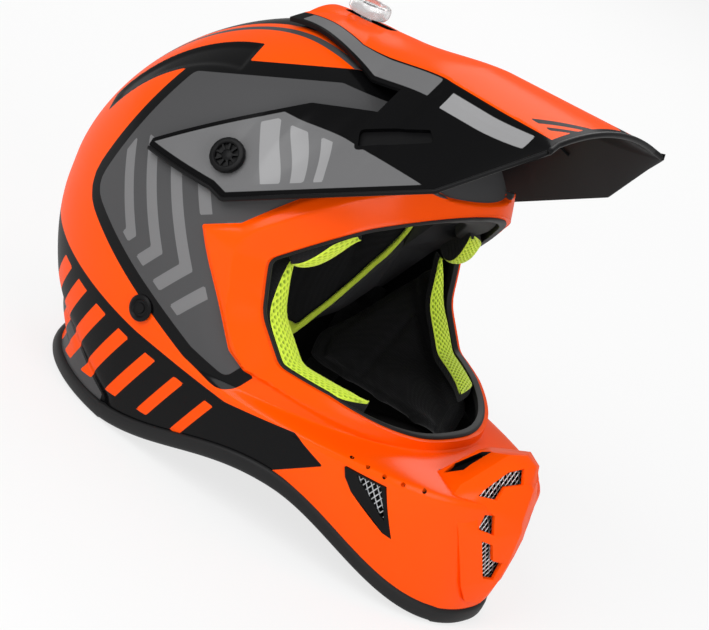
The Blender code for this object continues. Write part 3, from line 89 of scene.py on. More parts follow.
# %% The shell as a formula
WIDEST, HALF, WALL = 123.5, 120.0, 4.0
BROW, BACK, RISE = 136.0, 136.0, 132.0
CROWN_POWER, CROWN_BACK_POWER, BACK_POWER, ROUND_POWER = 2.05, 1.75, 1.95, 2.0
RIM_HALF, LIP_FLARE, LIP_FLARE_HEIGHT = 93.0, 6.0, 18.0
NECK_REACH, NECK_TOP, NECK_AT, NECK_POWER = 96.0, 110.0, 30.0, 1.9
PORT_LIP, LIP_REACH, SHELF_TOP, SHELF_DROP = 77.0, 154.0, 72.0, 7.0
CHIN_REACH, CHIN_FULL, CHIN_TUCK, CHIN_POWER = 204.0, 42.0, 1.5, 2.3


def ease(t):
    """0 to 1, flat at both ends."""
    t = np.clip(t, 0.0, 1.0)
    return t * t * (3.0 - 2.0 * t)


def section(height, inset=0.0):
    """Half width, front reach, rear reach and front power of the level section at each height."""
    height = np.asarray(height, float)
    up = np.clip((height - WIDEST) / (RISE - inset), 0.0, 1.0)
    top = (1.0 - up ** CROWN_POWER) ** (1.0 / CROWN_POWER)
    top_back = (1.0 - up ** CROWN_BACK_POWER) ** (1.0 / CROWN_BACK_POWER)
    drop = np.clip(1.0 - height / WIDEST, 0.0, None)
    wide = HALF - inset - (HALF - RIM_HALF) * drop ** 2
    share = ease((WIDEST - height) / (WIDEST - PORT_LIP))
    lip = BROW - inset + (LIP_REACH - BROW) * share
    chin = CHIN_REACH - inset - CHIN_TUCK * ((height - CHIN_FULL) / CHIN_FULL) ** 2
    front = lip + (chin - lip) * ease((SHELF_TOP - inset - height) / SHELF_DROP)
    neck = np.clip((NECK_TOP - height) / (NECK_TOP - NECK_AT), 0.0, 1.0)
    rear = BACK - inset - (BACK - NECK_REACH) * neck ** NECK_POWER
    rear = rear + LIP_FLARE * ease((NECK_AT - height) / LIP_FLARE_HEIGHT)
    return wide * top, front * top, rear * top_back, ROUND_POWER + (CHIN_POWER - ROUND_POWER) * share


def half_width(forward, height, inset=0.0):
    """Half width of the shell at a place seen from the side."""
    forward = np.asarray(forward, float)
    wide, front, rear, power = section(height, inset)
    ahead = forward >= 0.0
    power = np.where(ahead, power, BACK_POWER)
    reach = np.maximum(np.where(ahead, front, rear), TINY)
    share = np.clip(np.abs(forward) / reach, 0.0, 1.0)
    return wide * (1.0 - share ** power) ** (1.0 / power)


print("half width at the temples:", round(float(half_width(PIVOT[1], PIVOT[2])), 1), "mm")

# %% [markdown]
# The eyeport, the painted fields and the raised panels are all outlines. A signed distance says how far
# a point lies inside an outline, so one number can carve a step, bevel an edge or mark where one paint
# ends.

# %% Outlines and distances
PORT_CORNERS = [(176.0, 77.0, 0.0), (150.0, 77.0, 16.0), (112.0, 87.5, 20.0), (85.0, 91.5, 12.0),
                (64.5, 113.0, 26.0), (56.5, 142.0, 7.0), (90.0, 177.5, 40.0), (176.0, 250.0, 0.0)]
FAR_AWAY = 1e9


def unit(vectors):
    """Vectors brought to a length of one, along the last axis."""
    return vectors / np.maximum(np.linalg.norm(vectors, axis=-1, keepdims=True), TINY)


def round_outline(corners, steps=4):
    """A closed outline of (forward, height, radius) corners with round corners."""
    points = []
    for i, (f, h, radius) in enumerate(corners):
        here = np.array((f, h))
        if radius == 0.0:
            points.append(here)
            continue
        before = unit(np.array(corners[i - 1][:2]) - here)
        after = unit(np.array(corners[(i + 1) % len(corners)][:2]) - here)
        opening = math.acos(float(before @ after))
        back = radius / math.tan(opening / 2.0)
        start = here + before * back
        end = here + after * back
        for t in np.arange(steps + 1) / steps:
            points.append((1 - t) ** 2 * start + 2 * t * (1 - t) * here + t * t * end)
    return np.array(points)


def distance(points, outline, closed=True):
    """Distance in millimetres from each point to an outline, positive inside a closed one."""
    p = np.asarray(points, float)
    starts = outline if closed else outline[:-1]
    ends = np.roll(outline, -1, 0) if closed else outline[1:]
    best = np.full(len(p), FAR_AWAY)
    inside = np.zeros(len(p), bool)
    for a, b in zip(starts, ends):
        span = b - a
        t = np.clip((p - a) @ span / (span @ span), 0.0, 1.0)
        best = np.minimum(best, np.linalg.norm(p - a - t[:, None] * span, axis=1))
        if closed:
            above = (a[1] > p[:, 1]) != (b[1] > p[:, 1])
            slope = (b[0] - a[0]) / (b[1] - a[1]) if b[1] != a[1] else 0.0
            inside ^= above & (p[:, 0] < slope * (p[:, 1] - a[1]) + a[0])
    return np.where(inside, best, -best) if closed else best


PORT = round_outline(PORT_CORNERS)
print("eyeport outline:", len(PORT), "points")

# %% [markdown]
# Points of the skin come from the formula, dipped in beside the eyeport as the moulded flank is. The
# rim's underside arches over the shoulders, so the height of the lower edge is found by a few rounds of
# settling.

# %% Points of the shell
RECESS, RECESS_WIDTH = 4.0, 34.0
SLOPE_STEP, SETTLE = 0.4, 12
RIM_SLOPE, RIM_LEVEL_AT = math.tan(math.radians(LEAN_ANGLE)), 63.0
RIM_ARCH, RIM_ARCH_AT, RIM_ARCH_BACK, RIM_ARCH_FRONT, RIM_FLAT = 33.0, 108.0, 128.0, 98.0, 0.6


def recess(forward, height):
    """How far the flank dips in beside the eyeport."""
    flat = np.stack([np.ravel(forward), np.ravel(height)], 1)
    dip = RECESS * ease(1.0 - distance(flat, PORT, closed=False) / RECESS_WIDTH)
    return dip.reshape(np.shape(forward))


def shell_point(turn, height, inset=0.0):
    """Points of the shell at angles round from the front."""
    turn, height = np.broadcast_arrays(np.asarray(turn, float), np.asarray(height, float))
    wide, front, rear, power = section(height, inset)
    c, s = np.cos(turn), np.sin(turn)
    power = np.where(c < 0.0, BACK_POWER, power)
    forward = np.where(c < 0.0, -rear, front) * np.abs(c) ** (2.0 / power)
    across = np.sign(s) * wide * np.abs(s) ** (2.0 / power)
    across = across * (1.0 - recess(forward, height) / HALF)
    return np.stack([across, forward, height], -1)


def shell_level(points):
    """Zero on the shell and positive outside it."""
    across, forward, height = points.T
    wide, front, rear, power = section(height)
    power = np.where(forward < 0.0, BACK_POWER, power)
    reach = np.where(forward < 0.0, rear, front)
    sideways = np.abs(across) / np.maximum(wide, TINY)
    along = np.abs(forward) / np.maximum(reach, TINY)
    return sideways ** power + along ** power - 1.0


def shell_normal(points):
    """Outward direction of the shell by small steps."""
    steps = np.eye(3) * SLOPE_STEP
    return unit(np.stack([shell_level(points + s) - shell_level(points - s) for s in steps], 1))


def rim_underside(forward):
    """Height of the rim's underside."""
    span = np.where(forward > RIM_ARCH_AT, RIM_ARCH_FRONT, RIM_ARCH_BACK)
    share = np.minimum(np.abs(forward - RIM_ARCH_AT) / span, 1.0)
    arch = RIM_ARCH * np.cos(share * math.pi / 2.0) ** 2
    return np.where(arch < RIM_FLAT, 0.0, arch) - (forward - RIM_LEVEL_AT) * RIM_SLOPE


def rim_height(turn, rise, inset=0.0):
    """Height where the shell is a given rise above the rim's underside."""
    height = np.full(np.shape(turn), float(rise))
    for _ in range(SETTLE):
        height = rim_underside(shell_point(turn, height, inset)[..., 1]) + rise
    return height


print("rim at the front:", round(float(rim_height(np.zeros(1), 0.0)[0]), 1), "mm high")

# %% [markdown]
# Each piece is a grid of points skinned with quads, or a loft of equal rings. These helpers make the
# mesh, give it a material, let it ride on its body and hide the solid that it stands for.

# %% Mesh helpers
SIDES = (("right", -1.0), ("left", 1.0))
pieces_made = []


def grid_faces(rows, columns, wrap_rows=False, wrap_columns=False, first=0):
    """Quads over a grid of points stored row by row."""
    faces = []
    for r in range(rows if wrap_rows else rows - 1):
        here = first + r * columns
        below = first + (r + 1) % rows * columns
        for c in range(columns if wrap_columns else columns - 1):
            after = (c + 1) % columns
            faces.append([here + c, here + after, below + after, below + c])
    return faces


def loft(rings, closed=False):
    """Points and faces over equal rings, capped at both ends unless the row of rings closes on itself."""
    rings = np.asarray(rings, float)
    rows, columns = rings.shape[:2]
    faces = grid_faces(rows, columns, wrap_rows=closed, wrap_columns=True)
    if not closed:
        faces += [list(range(columns)), list(range((rows - 1) * columns, rows * columns))]
    return rings.reshape(-1, 3), faces


def mesh_object(name, points, faces, sharp=40.0):
    """A smooth-shaded mesh from points in the helmet's own frame, with its faces turned outwards."""
    mesh = bpy.data.meshes.new(name)
    mesh.from_pydata(to_row(points).tolist(), [], [list(f) for f in faces])
    bm = bmesh.new()
    bm.from_mesh(mesh)
    bmesh.ops.recalc_face_normals(bm, faces=bm.faces)
    bm.to_mesh(mesh)
    bm.free()
    made = bpy.data.objects.new(name, mesh)
    bpy.context.collection.objects.link(made)
    mesh.shade_smooth()
    mesh.set_sharp_from_angle(angle=math.radians(sharp))
    return made


def joined(name, parts, sharp=40.0):
    """One mesh from parts, each a pair of points and faces."""
    points, faces = [], []
    for part_points, part_faces in parts:
        faces += [[len(points) + i for i in face] for face in part_faces]
        points += list(part_points)
    return mesh_object(name, points, faces, sharp)


def enlist(piece, body, nodes=()):
    """Let a piece ride on its body, hide the solids that it stands for and add it to the pieces made."""
    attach(piece, body)
    if nodes:
        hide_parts(*nodes)
    pieces_made.append(piece.name)


def dress(piece, finish, body="shell", nodes=()):
    """Give a piece its material and enlist it."""
    piece.data.materials.clear()
    piece.data.materials.append(finish)
    enlist(piece, body, nodes)
    return piece


def on_side(points, side):
    """Points drawn for the wearer's left, kept (1) or mirrored to the right (-1)."""
    return np.asarray(points, float) * np.array((side, 1.0, 1.0))


print("mesh helpers ready")

# %% [markdown]
# Every finish is a node tree. One function adds a node with its settings and links, and one turns the
# sRGB hex value of a colour to the linear numbers that the renderer mixes.

# %% Material helpers
MIX_A, MIX_B, MIX_COLOUR = 6, 7, 2
WHITE = (1.0, 1.0, 1.0, 1.0)


def linear(code):
    """An sRGB hex colour as linear red, green, blue and alpha."""
    channels = [int(code[i:i + 2], 16) / 255.0 for i in (1, 3, 5)]
    return [c / 12.92 if c <= 0.04045 else ((c + 0.055) / 1.055) ** 2.4 for c in channels] + [1.0]


def plug(tree, node, wires):
    """Link or set some inputs of a node."""
    for socket, value in wires.items():
        if isinstance(value, bpy.types.NodeSocket):
            tree.links.new(value, node.inputs[socket])
        else:
            node.inputs[socket].default_value = value


def add(tree, kind, wires=None, **settings):
    """Add a shader node, set its options, and link or set its inputs."""
    node = tree.nodes.new("ShaderNode" + kind)
    for key, value in settings.items():
        setattr(node, key, value)
    plug(tree, node, wires or {})
    return node


def new_finish(name, **sockets):
    """A material with its Principled shader's plain numbers set; returns both and the tree."""
    made = bpy.data.materials.new(name)
    made.use_nodes = True
    tree = made.node_tree
    shader = tree.nodes["Principled BSDF"]
    plug(tree, shader, {socket.replace("_", " "): value for socket, value in sockets.items()})
    return made, tree, shader


print("material helpers ready")

# %% [markdown]
# Shell paint: a moulded shell sprayed and decalled, then clear coated to a satin gloss. The eye sees
# strong flat orange with crisp fields of black and greys, a soft highlight and a trace of orange peel.
# The fields come from signed distances kept on the mesh, which stay sharp at any size.

# %% Shell paint
ORANGE, ORANGE_WARM, INK = "#FF5000", "#FF5404", "#0A0A0B"
SHELL_GREYS, PEAK_GREYS = ("#4A4A4B", "#747475"), ("#6A6A6B", "#929293")
MARKS = ("mark_ink", "mark_grey", "mark_pale", "mark_orange")
EDGE, PEEL_SIZE, PEEL_DEPTH = 0.12, 2.6, 0.3
CLOUD_SCALE = 14.0  # clouds of tone about 70 mm across


def painted(name, roughness, coat, greys):
    """Satin clear-coated paint with one field for each mark on the mesh, the later over the earlier."""
    made, tree, shader = new_finish(name, IOR=1.5, Specular_IOR_Level=0.0, Coat_Weight=coat,
                                    Coat_Roughness=0.2)
    place = add(tree, "TexCoord").outputs["Object"]
    cloud = add(tree, "TexNoise", {"Vector": place, "Scale": CLOUD_SCALE, "Detail": 3.0}).outputs["Fac"]
    colour = add(tree, "Mix", {0: cloud, MIX_A: linear(ORANGE), MIX_B: linear(ORANGE_WARM)},
                 data_type="RGBA").outputs[MIX_COLOUR]
    for mark, code in zip(MARKS, (INK, *greys, ORANGE)):
        reach = add(tree, "Attribute", attribute_name=mark).outputs["Fac"]
        mask = add(tree, "MapRange", {"Value": reach, "From Min": -EDGE, "From Max": EDGE}).outputs["Result"]
        colour = add(tree, "Mix", {0: mask, MIX_A: colour, MIX_B: linear(code)},
                     data_type="RGBA").outputs[MIX_COLOUR]
    haze = add(tree, "MapRange", {"Value": cloud, "To Min": roughness - 0.04, "To Max": roughness + 0.05})
    peel = add(tree, "TexNoise", {"Vector": place, "Scale": 1.0 / (PEEL_SIZE * MM), "Detail": 1.0})
    bump = add(tree, "Bump", {"Height": peel.outputs["Fac"], "Strength": 0.03, "Distance": PEEL_DEPTH * MM})
    plug(tree, shader, {"Base Color": colour, "Roughness": haze.outputs["Result"],
                        "Normal": bump.outputs["Normal"]})
    return made


shell_paint = painted("clear coated shell paint", 0.36, 0.26, SHELL_GREYS)
peak_paint = painted("painted moulded polypropylene", 0.42, 0.16, PEAK_GREYS)
print("made", shell_paint.name, "and", peak_paint.name)

# %% [markdown]
# The plain plastics and rubbers: ABS for the vents, screws and rivets, moulded in a fine spark-eroded
# grain, and extruded EPDM rubber for the edging, which is blacker and duller. The impact foam shows its
# moulded beads.

# %% Black plastics, rubber and foam
WEAR_SCALE, WEAR_SPREAD = 30.0, 0.06  # worn patches about 33 mm across
WEAR_GAIN, WEAR_LIFT = 1.6, 0.004


def grained(name, code, roughness, grain, depth, **sockets):
    """A moulded surface with a fine random grain of a real size in millimetres."""
    made, tree, shader = new_finish(name, **sockets)
    place = add(tree, "TexCoord").outputs["Object"]
    noise = add(tree, "TexNoise", {"Vector": place, "Scale": 1.0 / (grain * MM), "Detail": 2.0})
    wear = add(tree, "TexNoise", {"Vector": place, "Scale": WEAR_SCALE, "Detail": 4.0}).outputs["Fac"]
    base = linear(code)
    lighter = [min(c * WEAR_GAIN + WEAR_LIFT, 1.0) for c in base[:3]] + [1.0]
    colour = add(tree, "Mix", {0: wear, MIX_A: base, MIX_B: lighter}, data_type="RGBA")
    dull = add(tree, "MapRange", {"Value": wear, "To Min": roughness - WEAR_SPREAD,
                                  "To Max": roughness + WEAR_SPREAD})
    bump = add(tree, "Bump", {"Height": noise.outputs["Fac"], "Strength": 0.25, "Distance": depth * MM})
    plug(tree, shader, {"Base Color": colour.outputs[MIX_COLOUR], "Roughness": dull.outputs["Result"],
                        "Normal": bump.outputs["Normal"]})
    return made


abs_black = grained("moulded black ABS", "#080809", 0.42, 0.5, 0.10, IOR=1.53, Specular_IOR_Level=0.1)
rubber_black = grained("extruded EPDM rubber", "#0B0B0C", 0.6, 0.8, 0.12, IOR=1.5, Specular_IOR_Level=0.3)
foam_grey = grained("moulded bead foam", "#2A2A2C", 0.85, 3.0, 0.8, IOR=1.45)
print("made", abs_black.name, rubber_black.name, foam_grey.name)

# %% [markdown]
# Metals: drawn stainless wire for the vent meshes and chromed wire for the D-rings. Both keep the
# default IOR; only roughness tells them apart. The knob is clear moulded polycarbonate, a little frosted
# by handling.

# %% Metals and clear plastic
DRAWN_SPREAD = 0.08


def metal(name, code, roughness, scratch):
    """Bare metal with fine drawing marks of a real spacing in millimetres."""
    made, tree, shader = new_finish(name, Metallic=1.0)
    place = add(tree, "TexCoord").outputs["Object"]
    marks = add(tree, "TexNoise", {"Vector": place, "Scale": 1.0 / (scratch * MM), "Detail": 3.0})
    dull = add(tree, "MapRange", {"Value": marks.outputs["Fac"], "To Min": roughness - DRAWN_SPREAD,
                                  "To Max": roughness + DRAWN_SPREAD})
    plug(tree, shader, {"Base Color": linear(code), "Roughness": dull.outputs["Result"]})
    return made


steel_wire = metal("drawn stainless steel", "#D5D7D9", 0.52, 1.5)
chromed_wire = metal("chromed steel wire", "#D6D8DA", 0.14, 2.0)
clear_pc, _, _ = new_finish("moulded clear polycarbonate", Base_Color=linear("#F4F6F7"), IOR=1.58,
                            Roughness=0.16, Transmission_Weight=0.85)
print("made", steel_wire.name, chromed_wire.name, clear_pc.name)

# %% [markdown]
# Cloths: brushed tricot on the pads, an open warp-knit spacer mesh in lime on the trims, and woven
# polyester webbing. Thread spacings are real, but the tricot's 0.6 mm loops are drawn at 1.2 mm so that
# they show.

# %% Cloths
KNIT_STEP, WEBBING_STEP = 1.2, 1.6
FUZZ_SCALE, YARN_SCALE = 900.0, 700.0  # fibres about 1.1 and 1.4 mm apart
KNIT_DEPTH, YARN_DEPTH = 0.3, 0.25
LIME, LIME_PALE, LIME_HOLE_SHADE = "#D2F424", "#ECFF5C", "#66860C"


def knitted(name, code, valley_shade_code, step, roughness, sheen):
    """Cloth with a two-way knit of a real loop spacing, woven from two crossed waves; its low places are
    darker, as painted shade.
    """
    made, tree, shader = new_finish(name, IOR=1.45, Roughness=roughness, Sheen_Weight=sheen,
                                    Sheen_Roughness=0.4)
    place = add(tree, "TexCoord").outputs["Object"]
    scale = 1.0 / (step * MM) / TURN * 2.0
    waves = [add(tree, "TexWave", {"Vector": place, "Scale": scale, "Distortion": 0.6, "Detail": 1.0},
                 bands_direction=direction).outputs["Fac"] for direction in ("X", "Z")]
    loops = add(tree, "Math", {0: waves[0], 1: waves[1]}, operation="MULTIPLY").outputs[0]
    fuzz = add(tree, "TexNoise", {"Vector": place, "Scale": FUZZ_SCALE, "Detail": 2.0}).outputs["Fac"]
    height = add(tree, "Math", {0: loops, 1: fuzz}, operation="ADD").outputs[0]
    # Painted shade: the colour darkens where the knit lies low.
    knit_valley_shade = add(tree, "MapRange", {"Value": height, "From Min": 0.3, "From Max": 1.4}).outputs["Result"]
    colour = add(tree, "Mix", {0: knit_valley_shade, MIX_A: linear(valley_shade_code), MIX_B: linear(code)}, data_type="RGBA")
    bump = add(tree, "Bump", {"Height": height, "Strength": 0.5, "Distance": KNIT_DEPTH * MM})
    plug(tree, shader, {"Base Color": colour.outputs[MIX_COLOUR], "Normal": bump.outputs["Normal"]})
    return made


def spacer_mesh(name):
    """Lime spacer mesh; the depth of each knitted hole is kept on the mesh and darkens it as painted shade.
    """
    made, tree, shader = new_finish(name, IOR=1.45, Roughness=0.75, Sheen_Weight=0.25, Sheen_Roughness=0.4)
    hole = add(tree, "Attribute", attribute_name="hole").outputs["Fac"]
    place = add(tree, "TexCoord").outputs["Object"]
    yarn = add(tree, "TexNoise", {"Vector": place, "Scale": YARN_SCALE, "Detail": 2.0}).outputs["Fac"]
    bright = add(tree, "Mix", {0: yarn, MIX_A: linear(LIME), MIX_B: linear(LIME_PALE)}, data_type="RGBA")
    # Painted shade: deeper holes are darker.
    colour = add(tree, "Mix", {0: hole, MIX_A: bright.outputs[MIX_COLOUR], MIX_B: linear(LIME_HOLE_SHADE)},
                 data_type="RGBA")
    bump = add(tree, "Bump", {"Height": yarn, "Strength": 0.4, "Distance": YARN_DEPTH * MM})
    plug(tree, shader, {"Base Color": colour.outputs[MIX_COLOUR], "Normal": bump.outputs["Normal"]})
    return made


# Each cloth's second colour is its painted shade in the knit's low places.
tricot_black = knitted("brushed black tricot", "#161618", "#08080A", KNIT_STEP, 0.92, 0.05)
webbing_black = knitted("woven polyester webbing", "#1B1B1D", "#09090A", WEBBING_STEP, 0.8, 0.1)
lime_mesh = spacer_mesh("lime spacer mesh")
print("made", tricot_black.name, webbing_black.name, lime_mesh.name)

# %% [markdown]
# The shell's relief: the panel round the eyeport stands up to five millimetres proud, with a mitred
# corner, a groove runs above the rear lip, and a shallow slot lies on each side of the crown. Real
# moulded steps need a small bevel to catch the light, so each is eased over two to four millimetres.

# %% Relief of the shell
SURROUND = np.array([(18.6, 143.6), (37.5, 154.0), (57.0, 178.7), (70.3, 192.8), (82.5, 198.0),
                     (98.0, 205.5), (104.0, 203.5), (230.0, 206.0), (230.0, 68.0), (160.0, 69.0),
                     (130.0, 72.5), (104.0, 77.0), (86.0, 80.0), (71.0, 82.0), (60.0, 88.5),
                     (42.0, 112.4)])
SURROUND_STEP, SURROUND_RIDGE, STEP_BEVEL, RIDGE_AT = 2.2, 5.0, 2.2, 16.0
FADE, FADE_AT, FADE_LENGTH, FADE_BELOW, FADE_HEIGHT = 0.75, 66.0, 50.0, 108.0, 16.0
LEDGE_RISE, LEDGE_AT, LEDGE_BEVEL, LEDGE_FROM, LEDGE_LENGTH = 0.9, 64.6, 1.6, 100.0, 25.0
LIP_GROOVE = np.array([(-130.0, 54.0), (-79.0, 47.5), (-48.0, 39.0), (-10.0, 19.6)])
LIP_GROOVE_DEPTH, LIP_GROOVE_WIDTH = 2.0, 5.0
CROWN_SLOT = round_outline([(-104.0, 62.0, 2.0), (-24.0, 62.0, 2.0), (-18.0, 83.0, 2.0), (-96.0, 76.0, 2.0)])
CROWN_SLOT_DEPTH, SLOT_BEVEL = 1.4, 4.0


def relief(points):
    """How far the moulded skin stands out from the plain shell at points in the helmet's own frame."""
    across, forward, height = points.reshape(-1, 3).T
    side = np.stack([forward, height], 1)
    inside = distance(side, SURROUND)
    to_port = distance(side, PORT, closed=False)
    share = inside / np.maximum(inside + np.clip(to_port - RIDGE_AT, 0.0, None), TINY)
    tall = SURROUND_STEP + (SURROUND_RIDGE - SURROUND_STEP) * share
    low_front = ease((forward - FADE_AT) / FADE_LENGTH) * ease((FADE_BELOW - height) / FADE_HEIGHT)
    tall = tall * (1.0 - FADE * low_front) * np.clip(to_port / RIDGE_AT, 0.0, 1.0)
    raised = np.where(inside > 0.0, tall * ease(inside / STEP_BEVEL), 0.0)
    ledge = LEDGE_RISE * ease((LEDGE_AT - height) / LEDGE_BEVEL)
    ledge = ledge * ease((forward - LEDGE_FROM) / LEDGE_LENGTH)
    groove = -LIP_GROOVE_DEPTH * np.exp(-(distance(side, LIP_GROOVE, closed=False) / LIP_GROOVE_WIDTH) ** 2)
    above = np.stack([forward, np.abs(across)], 1)
    slot = -CROWN_SLOT_DEPTH * ease(distance(above, CROWN_SLOT) / SLOT_BEVEL) * (height > WIDEST)
    return (raised + ledge + groove + slot).reshape(points.shape[:-1])


print("relief of the eyeport's panel:", SURROUND_STEP, "to", SURROUND_RIDGE, "mm")

# %% [markdown]
# The skin is sampled in rows round the head. Columns stand closer together at the temples, where the
# steps and the graphics are, so that fine edges don't need a fine mesh everywhere.

# %% Rows of the skin
SHELL_TURNS, DENSE_AT, DENSE_SPREAD, DENSE_GAIN = 560, 60.0, 40.0, 1.4
RIM_SEAT = 4.5
OUTER_ROWS, INNER_ROWS = (150, 44, 20, 44), (20, 8, 6, 10)
HEAD_MIDDLE = np.array((0.0, 20.0, 110.0))
degrees = np.linspace(-180.0, 180.0, 3601)
density = 1.0 + DENSE_GAIN * np.exp(-((np.abs(degrees) - DENSE_AT) / DENSE_SPREAD) ** 2)
summed = np.concatenate([[0.0], np.cumsum((density[1:] + density[:-1]) / 2.0)])
turns = np.radians(np.interp(np.arange(SHELL_TURNS) / SHELL_TURNS, summed / summed[-1], degrees))


def skin_points(inset, counts):
    """Rows of points from just under the shell's top to its lower edge; counts are rows in each zone."""
    crown, port, shelf, chin = counts
    shelf_top = SHELF_TOP - inset
    rows = list(WIDEST + (RISE - inset) * np.cos(math.pi / 2.0 * np.arange(1, crown + 1) / crown))
    rows += list(np.linspace(WIDEST, shelf_top, port + 1)[1:])
    rows += list(np.linspace(shelf_top, shelf_top - SHELF_DROP, shelf + 1)[1:])
    level = [np.full(SHELL_TURNS, h) for h in rows]
    edge = rim_height(turns, RIM_SEAT, inset)
    level += [rows[-1] + (edge - rows[-1]) * (i + 1) / chin for i in range(chin)]
    return np.stack([shell_point(turns, row, inset) for row in level])


def grid_normals(grid):
    """Outward directions over a grid that closes round on itself."""
    down = np.gradient(grid, axis=0)
    sideways = np.roll(grid, -1, 1) - np.roll(grid, 1, 1)
    normal = unit(np.cross(down, sideways))
    flip = np.sign(((grid - HEAD_MIDDLE) * normal).sum(2, keepdims=True))
    return normal * np.where(flip == 0.0, 1.0, flip)


outer = skin_points(0.0, OUTER_ROWS)
outer = outer + grid_normals(outer) * relief(outer)[..., None]
inner = skin_points(WALL, INNER_ROWS)
print("shell skin:", outer.shape[0] * SHELL_TURNS, "points outside,", inner.shape[0] * SHELL_TURNS, "inside")

# %% [markdown]
# The skin is closed over its rim and its crown into one watertight wall, ready to be cut.

# %% Shell skin
crown_tops = [(0.0, 0.0, WIDEST + RISE), (0.0, 0.0, WIDEST + RISE - WALL)]
first_in = 2 + outer.shape[0] * SHELL_TURNS
faces = grid_faces(outer.shape[0], SHELL_TURNS, wrap_columns=True, first=2)
faces += grid_faces(inner.shape[0], SHELL_TURNS, wrap_columns=True, first=first_in)
low_out = first_in - SHELL_TURNS
low_in = first_in + (inner.shape[0] - 1) * SHELL_TURNS
for i in range(SHELL_TURNS):
    j = (i + 1) % SHELL_TURNS
    faces.append((0, 2 + i, 2 + j))
    faces.append((1, first_in + i, first_in + j))
    faces.append((low_out + i, low_in + i, low_in + j, low_out + j))
shell_points = np.vstack([crown_tops, outer.reshape(-1, 3), inner.reshape(-1, 3)])
shell_skin = mesh_object("shell_skin", shell_points, faces)
print("closed the skin with", len(faces), "faces")

# %% [markdown]
# The eyeport, the vents with the mouth, and the row of small holes are cut out in that order, as they
# are routed on the moulded shell. Each cut takes a tool whose parts don't touch each other, which an
# exact cut needs.

# %% Openings of the shell
VENT = np.array([(142.0, 62.0), (163.5, 60.0), (173.5, 32.0), (169.0, 33.5), (149.0, 49.5), (144.0, 56.0)])
MOUTH = [(-10.0, 19.0), (10.0, 19.0), (27.6, 52.0), (27.6, 59.6), (-27.6, 59.6), (-27.6, 52.0)]
MOUTH_REAR, MOUTH_FRONT = 166.0, 240.0
DOT_START, DOT_END, DOTS = np.array((142.0, 67.2)), np.array((179.3, 64.8)), 5
DOT_RADIUS, DOT_DEPTH, DOT_REACH, DOT_SIDES = 1.3, 3.2, 6.0, 16


def apply_modifiers(piece):
    """Bake a piece's modifiers into its mesh."""
    bpy.context.view_layer.update()
    ready = piece.evaluated_get(bpy.context.evaluated_depsgraph_get())
    baked = bpy.data.meshes.new_from_object(ready)
    piece.modifiers.clear()
    piece.data = baked
    return piece


def cut(piece, tool, sharp=40.0):
    """Subtract a closed tool from a piece and bake the result."""
    step = piece.modifiers.new("cut", "BOOLEAN")
    step.operation = "DIFFERENCE"
    step.solver = "EXACT"
    step.object = tool
    apply_modifiers(piece)
    bpy.data.objects.remove(tool)
    piece.data.shade_smooth()
    piece.data.set_sharp_from_angle(angle=math.radians(sharp))
    return piece


def side_prism(outline, start, end):
    """A prism along X whose outline is seen from the side."""
    return loft([[(x, f, h) for f, h in outline] for x in (start, end)])


def turning_axes(axis):
    """Three directions at right angles, the first along an axis."""
    along = Vector(axis).normalized()
    across = np.array(along.orthogonal().normalized())
    return np.array(along), across, np.cross(np.array(along), across)


def lathe(centre, axis, profile, sides, shape=None):
    """A turned solid; profile is (radius, along), and shape(angle, along) scales the radius."""
    axis, across, other = turning_axes(axis)
    rings = []
    for radius, along in profile:
        middle = np.array(centre) + axis * along
        for angle in TURN * np.arange(sides) / sides:
            grown = radius * (shape(angle, along) if shape else 1.0)
            rings.append(middle + (across * math.cos(angle) + other * math.sin(angle)) * grown)
    return loft(np.reshape(rings, (len(profile), sides, 3)))


def dot(side, share):
    """The drill for one small hole, square to the shell."""
    f, h = DOT_START + (DOT_END - DOT_START) * share
    spot = np.array((side * float(half_width(f, h)), f, h))
    profile = [(DOT_RADIUS, -DOT_DEPTH), (DOT_RADIUS, DOT_REACH)]
    return lathe(spot, shell_normal(spot[None])[0], profile, DOT_SIDES)


cut(shell_skin, joined("port_tool", [side_prism(PORT, -2.0 * HALF, 2.0 * HALF)]))
vents = [side_prism(VENT, side * HALF / 3.0, side * HALF) for _, side in SIDES]
mouth = loft([[(x, f, h) for x, h in MOUTH] for f in (MOUTH_REAR, MOUTH_FRONT)])
cut(shell_skin, joined("vent_tool", [*vents, mouth]))
dots = [dot(side, share) for _, side in SIDES for share in np.linspace(0.0, 1.0, DOTS)]
cut(shell_skin, joined("dot_tool", dots))
print("shell skin has", len(shell_skin.data.polygons), "faces")

# %% [markdown]
# The graphics are of the builder's own design in the same colours: a grey temple field with forward
# chevrons, a black blade along the lower flank with slanted bars, and racing stripes over the crown.
# Each field is an outline seen from the side or from above. The ink under the mouthpiece's hood is painted
# shade.

# %% Painted fields of the shell
NOWHERE = -99.0
TEMPLE = round_outline([(-46.0, 206.0, 6.0), (30.0, 236.0, 6.0), (110.0, 236.0, 0.0), (110.0, 150.0, 0.0),
                        (64.0, 74.0, 6.0), (40.0, 80.0, 6.0), (-64.0, 126.0, 14.0)])
TEMPLE_EDGE, TEMPLE_MARGIN = 8.0, 5.0
BLADE = np.array([(-150.0, 100.0), (-70.0, 84.0), (4.0, 70.0), (70.0, 62.0), (112.0, 66.0), (132.0, 56.0),
                  (92.0, 30.0), (40.0, 6.0), (-150.0, 6.0)])
BLADE_GAP, BLADE_MARGIN = 0.5, 7.0
CHEVRONS, CHEVRON_STEP, CHEVRON_WIDTH = 4, 21.0, 9.0
CHEVRON_START, CHEVRON_LEAN, CHEVRON_AT, CHEVRON_TOP = -26.0, 0.75, 118.0, 168.0
BARS, BAR_STEP, BAR_WIDTH, BAR_TAPER = 7, 24.0, 13.0, 1.1
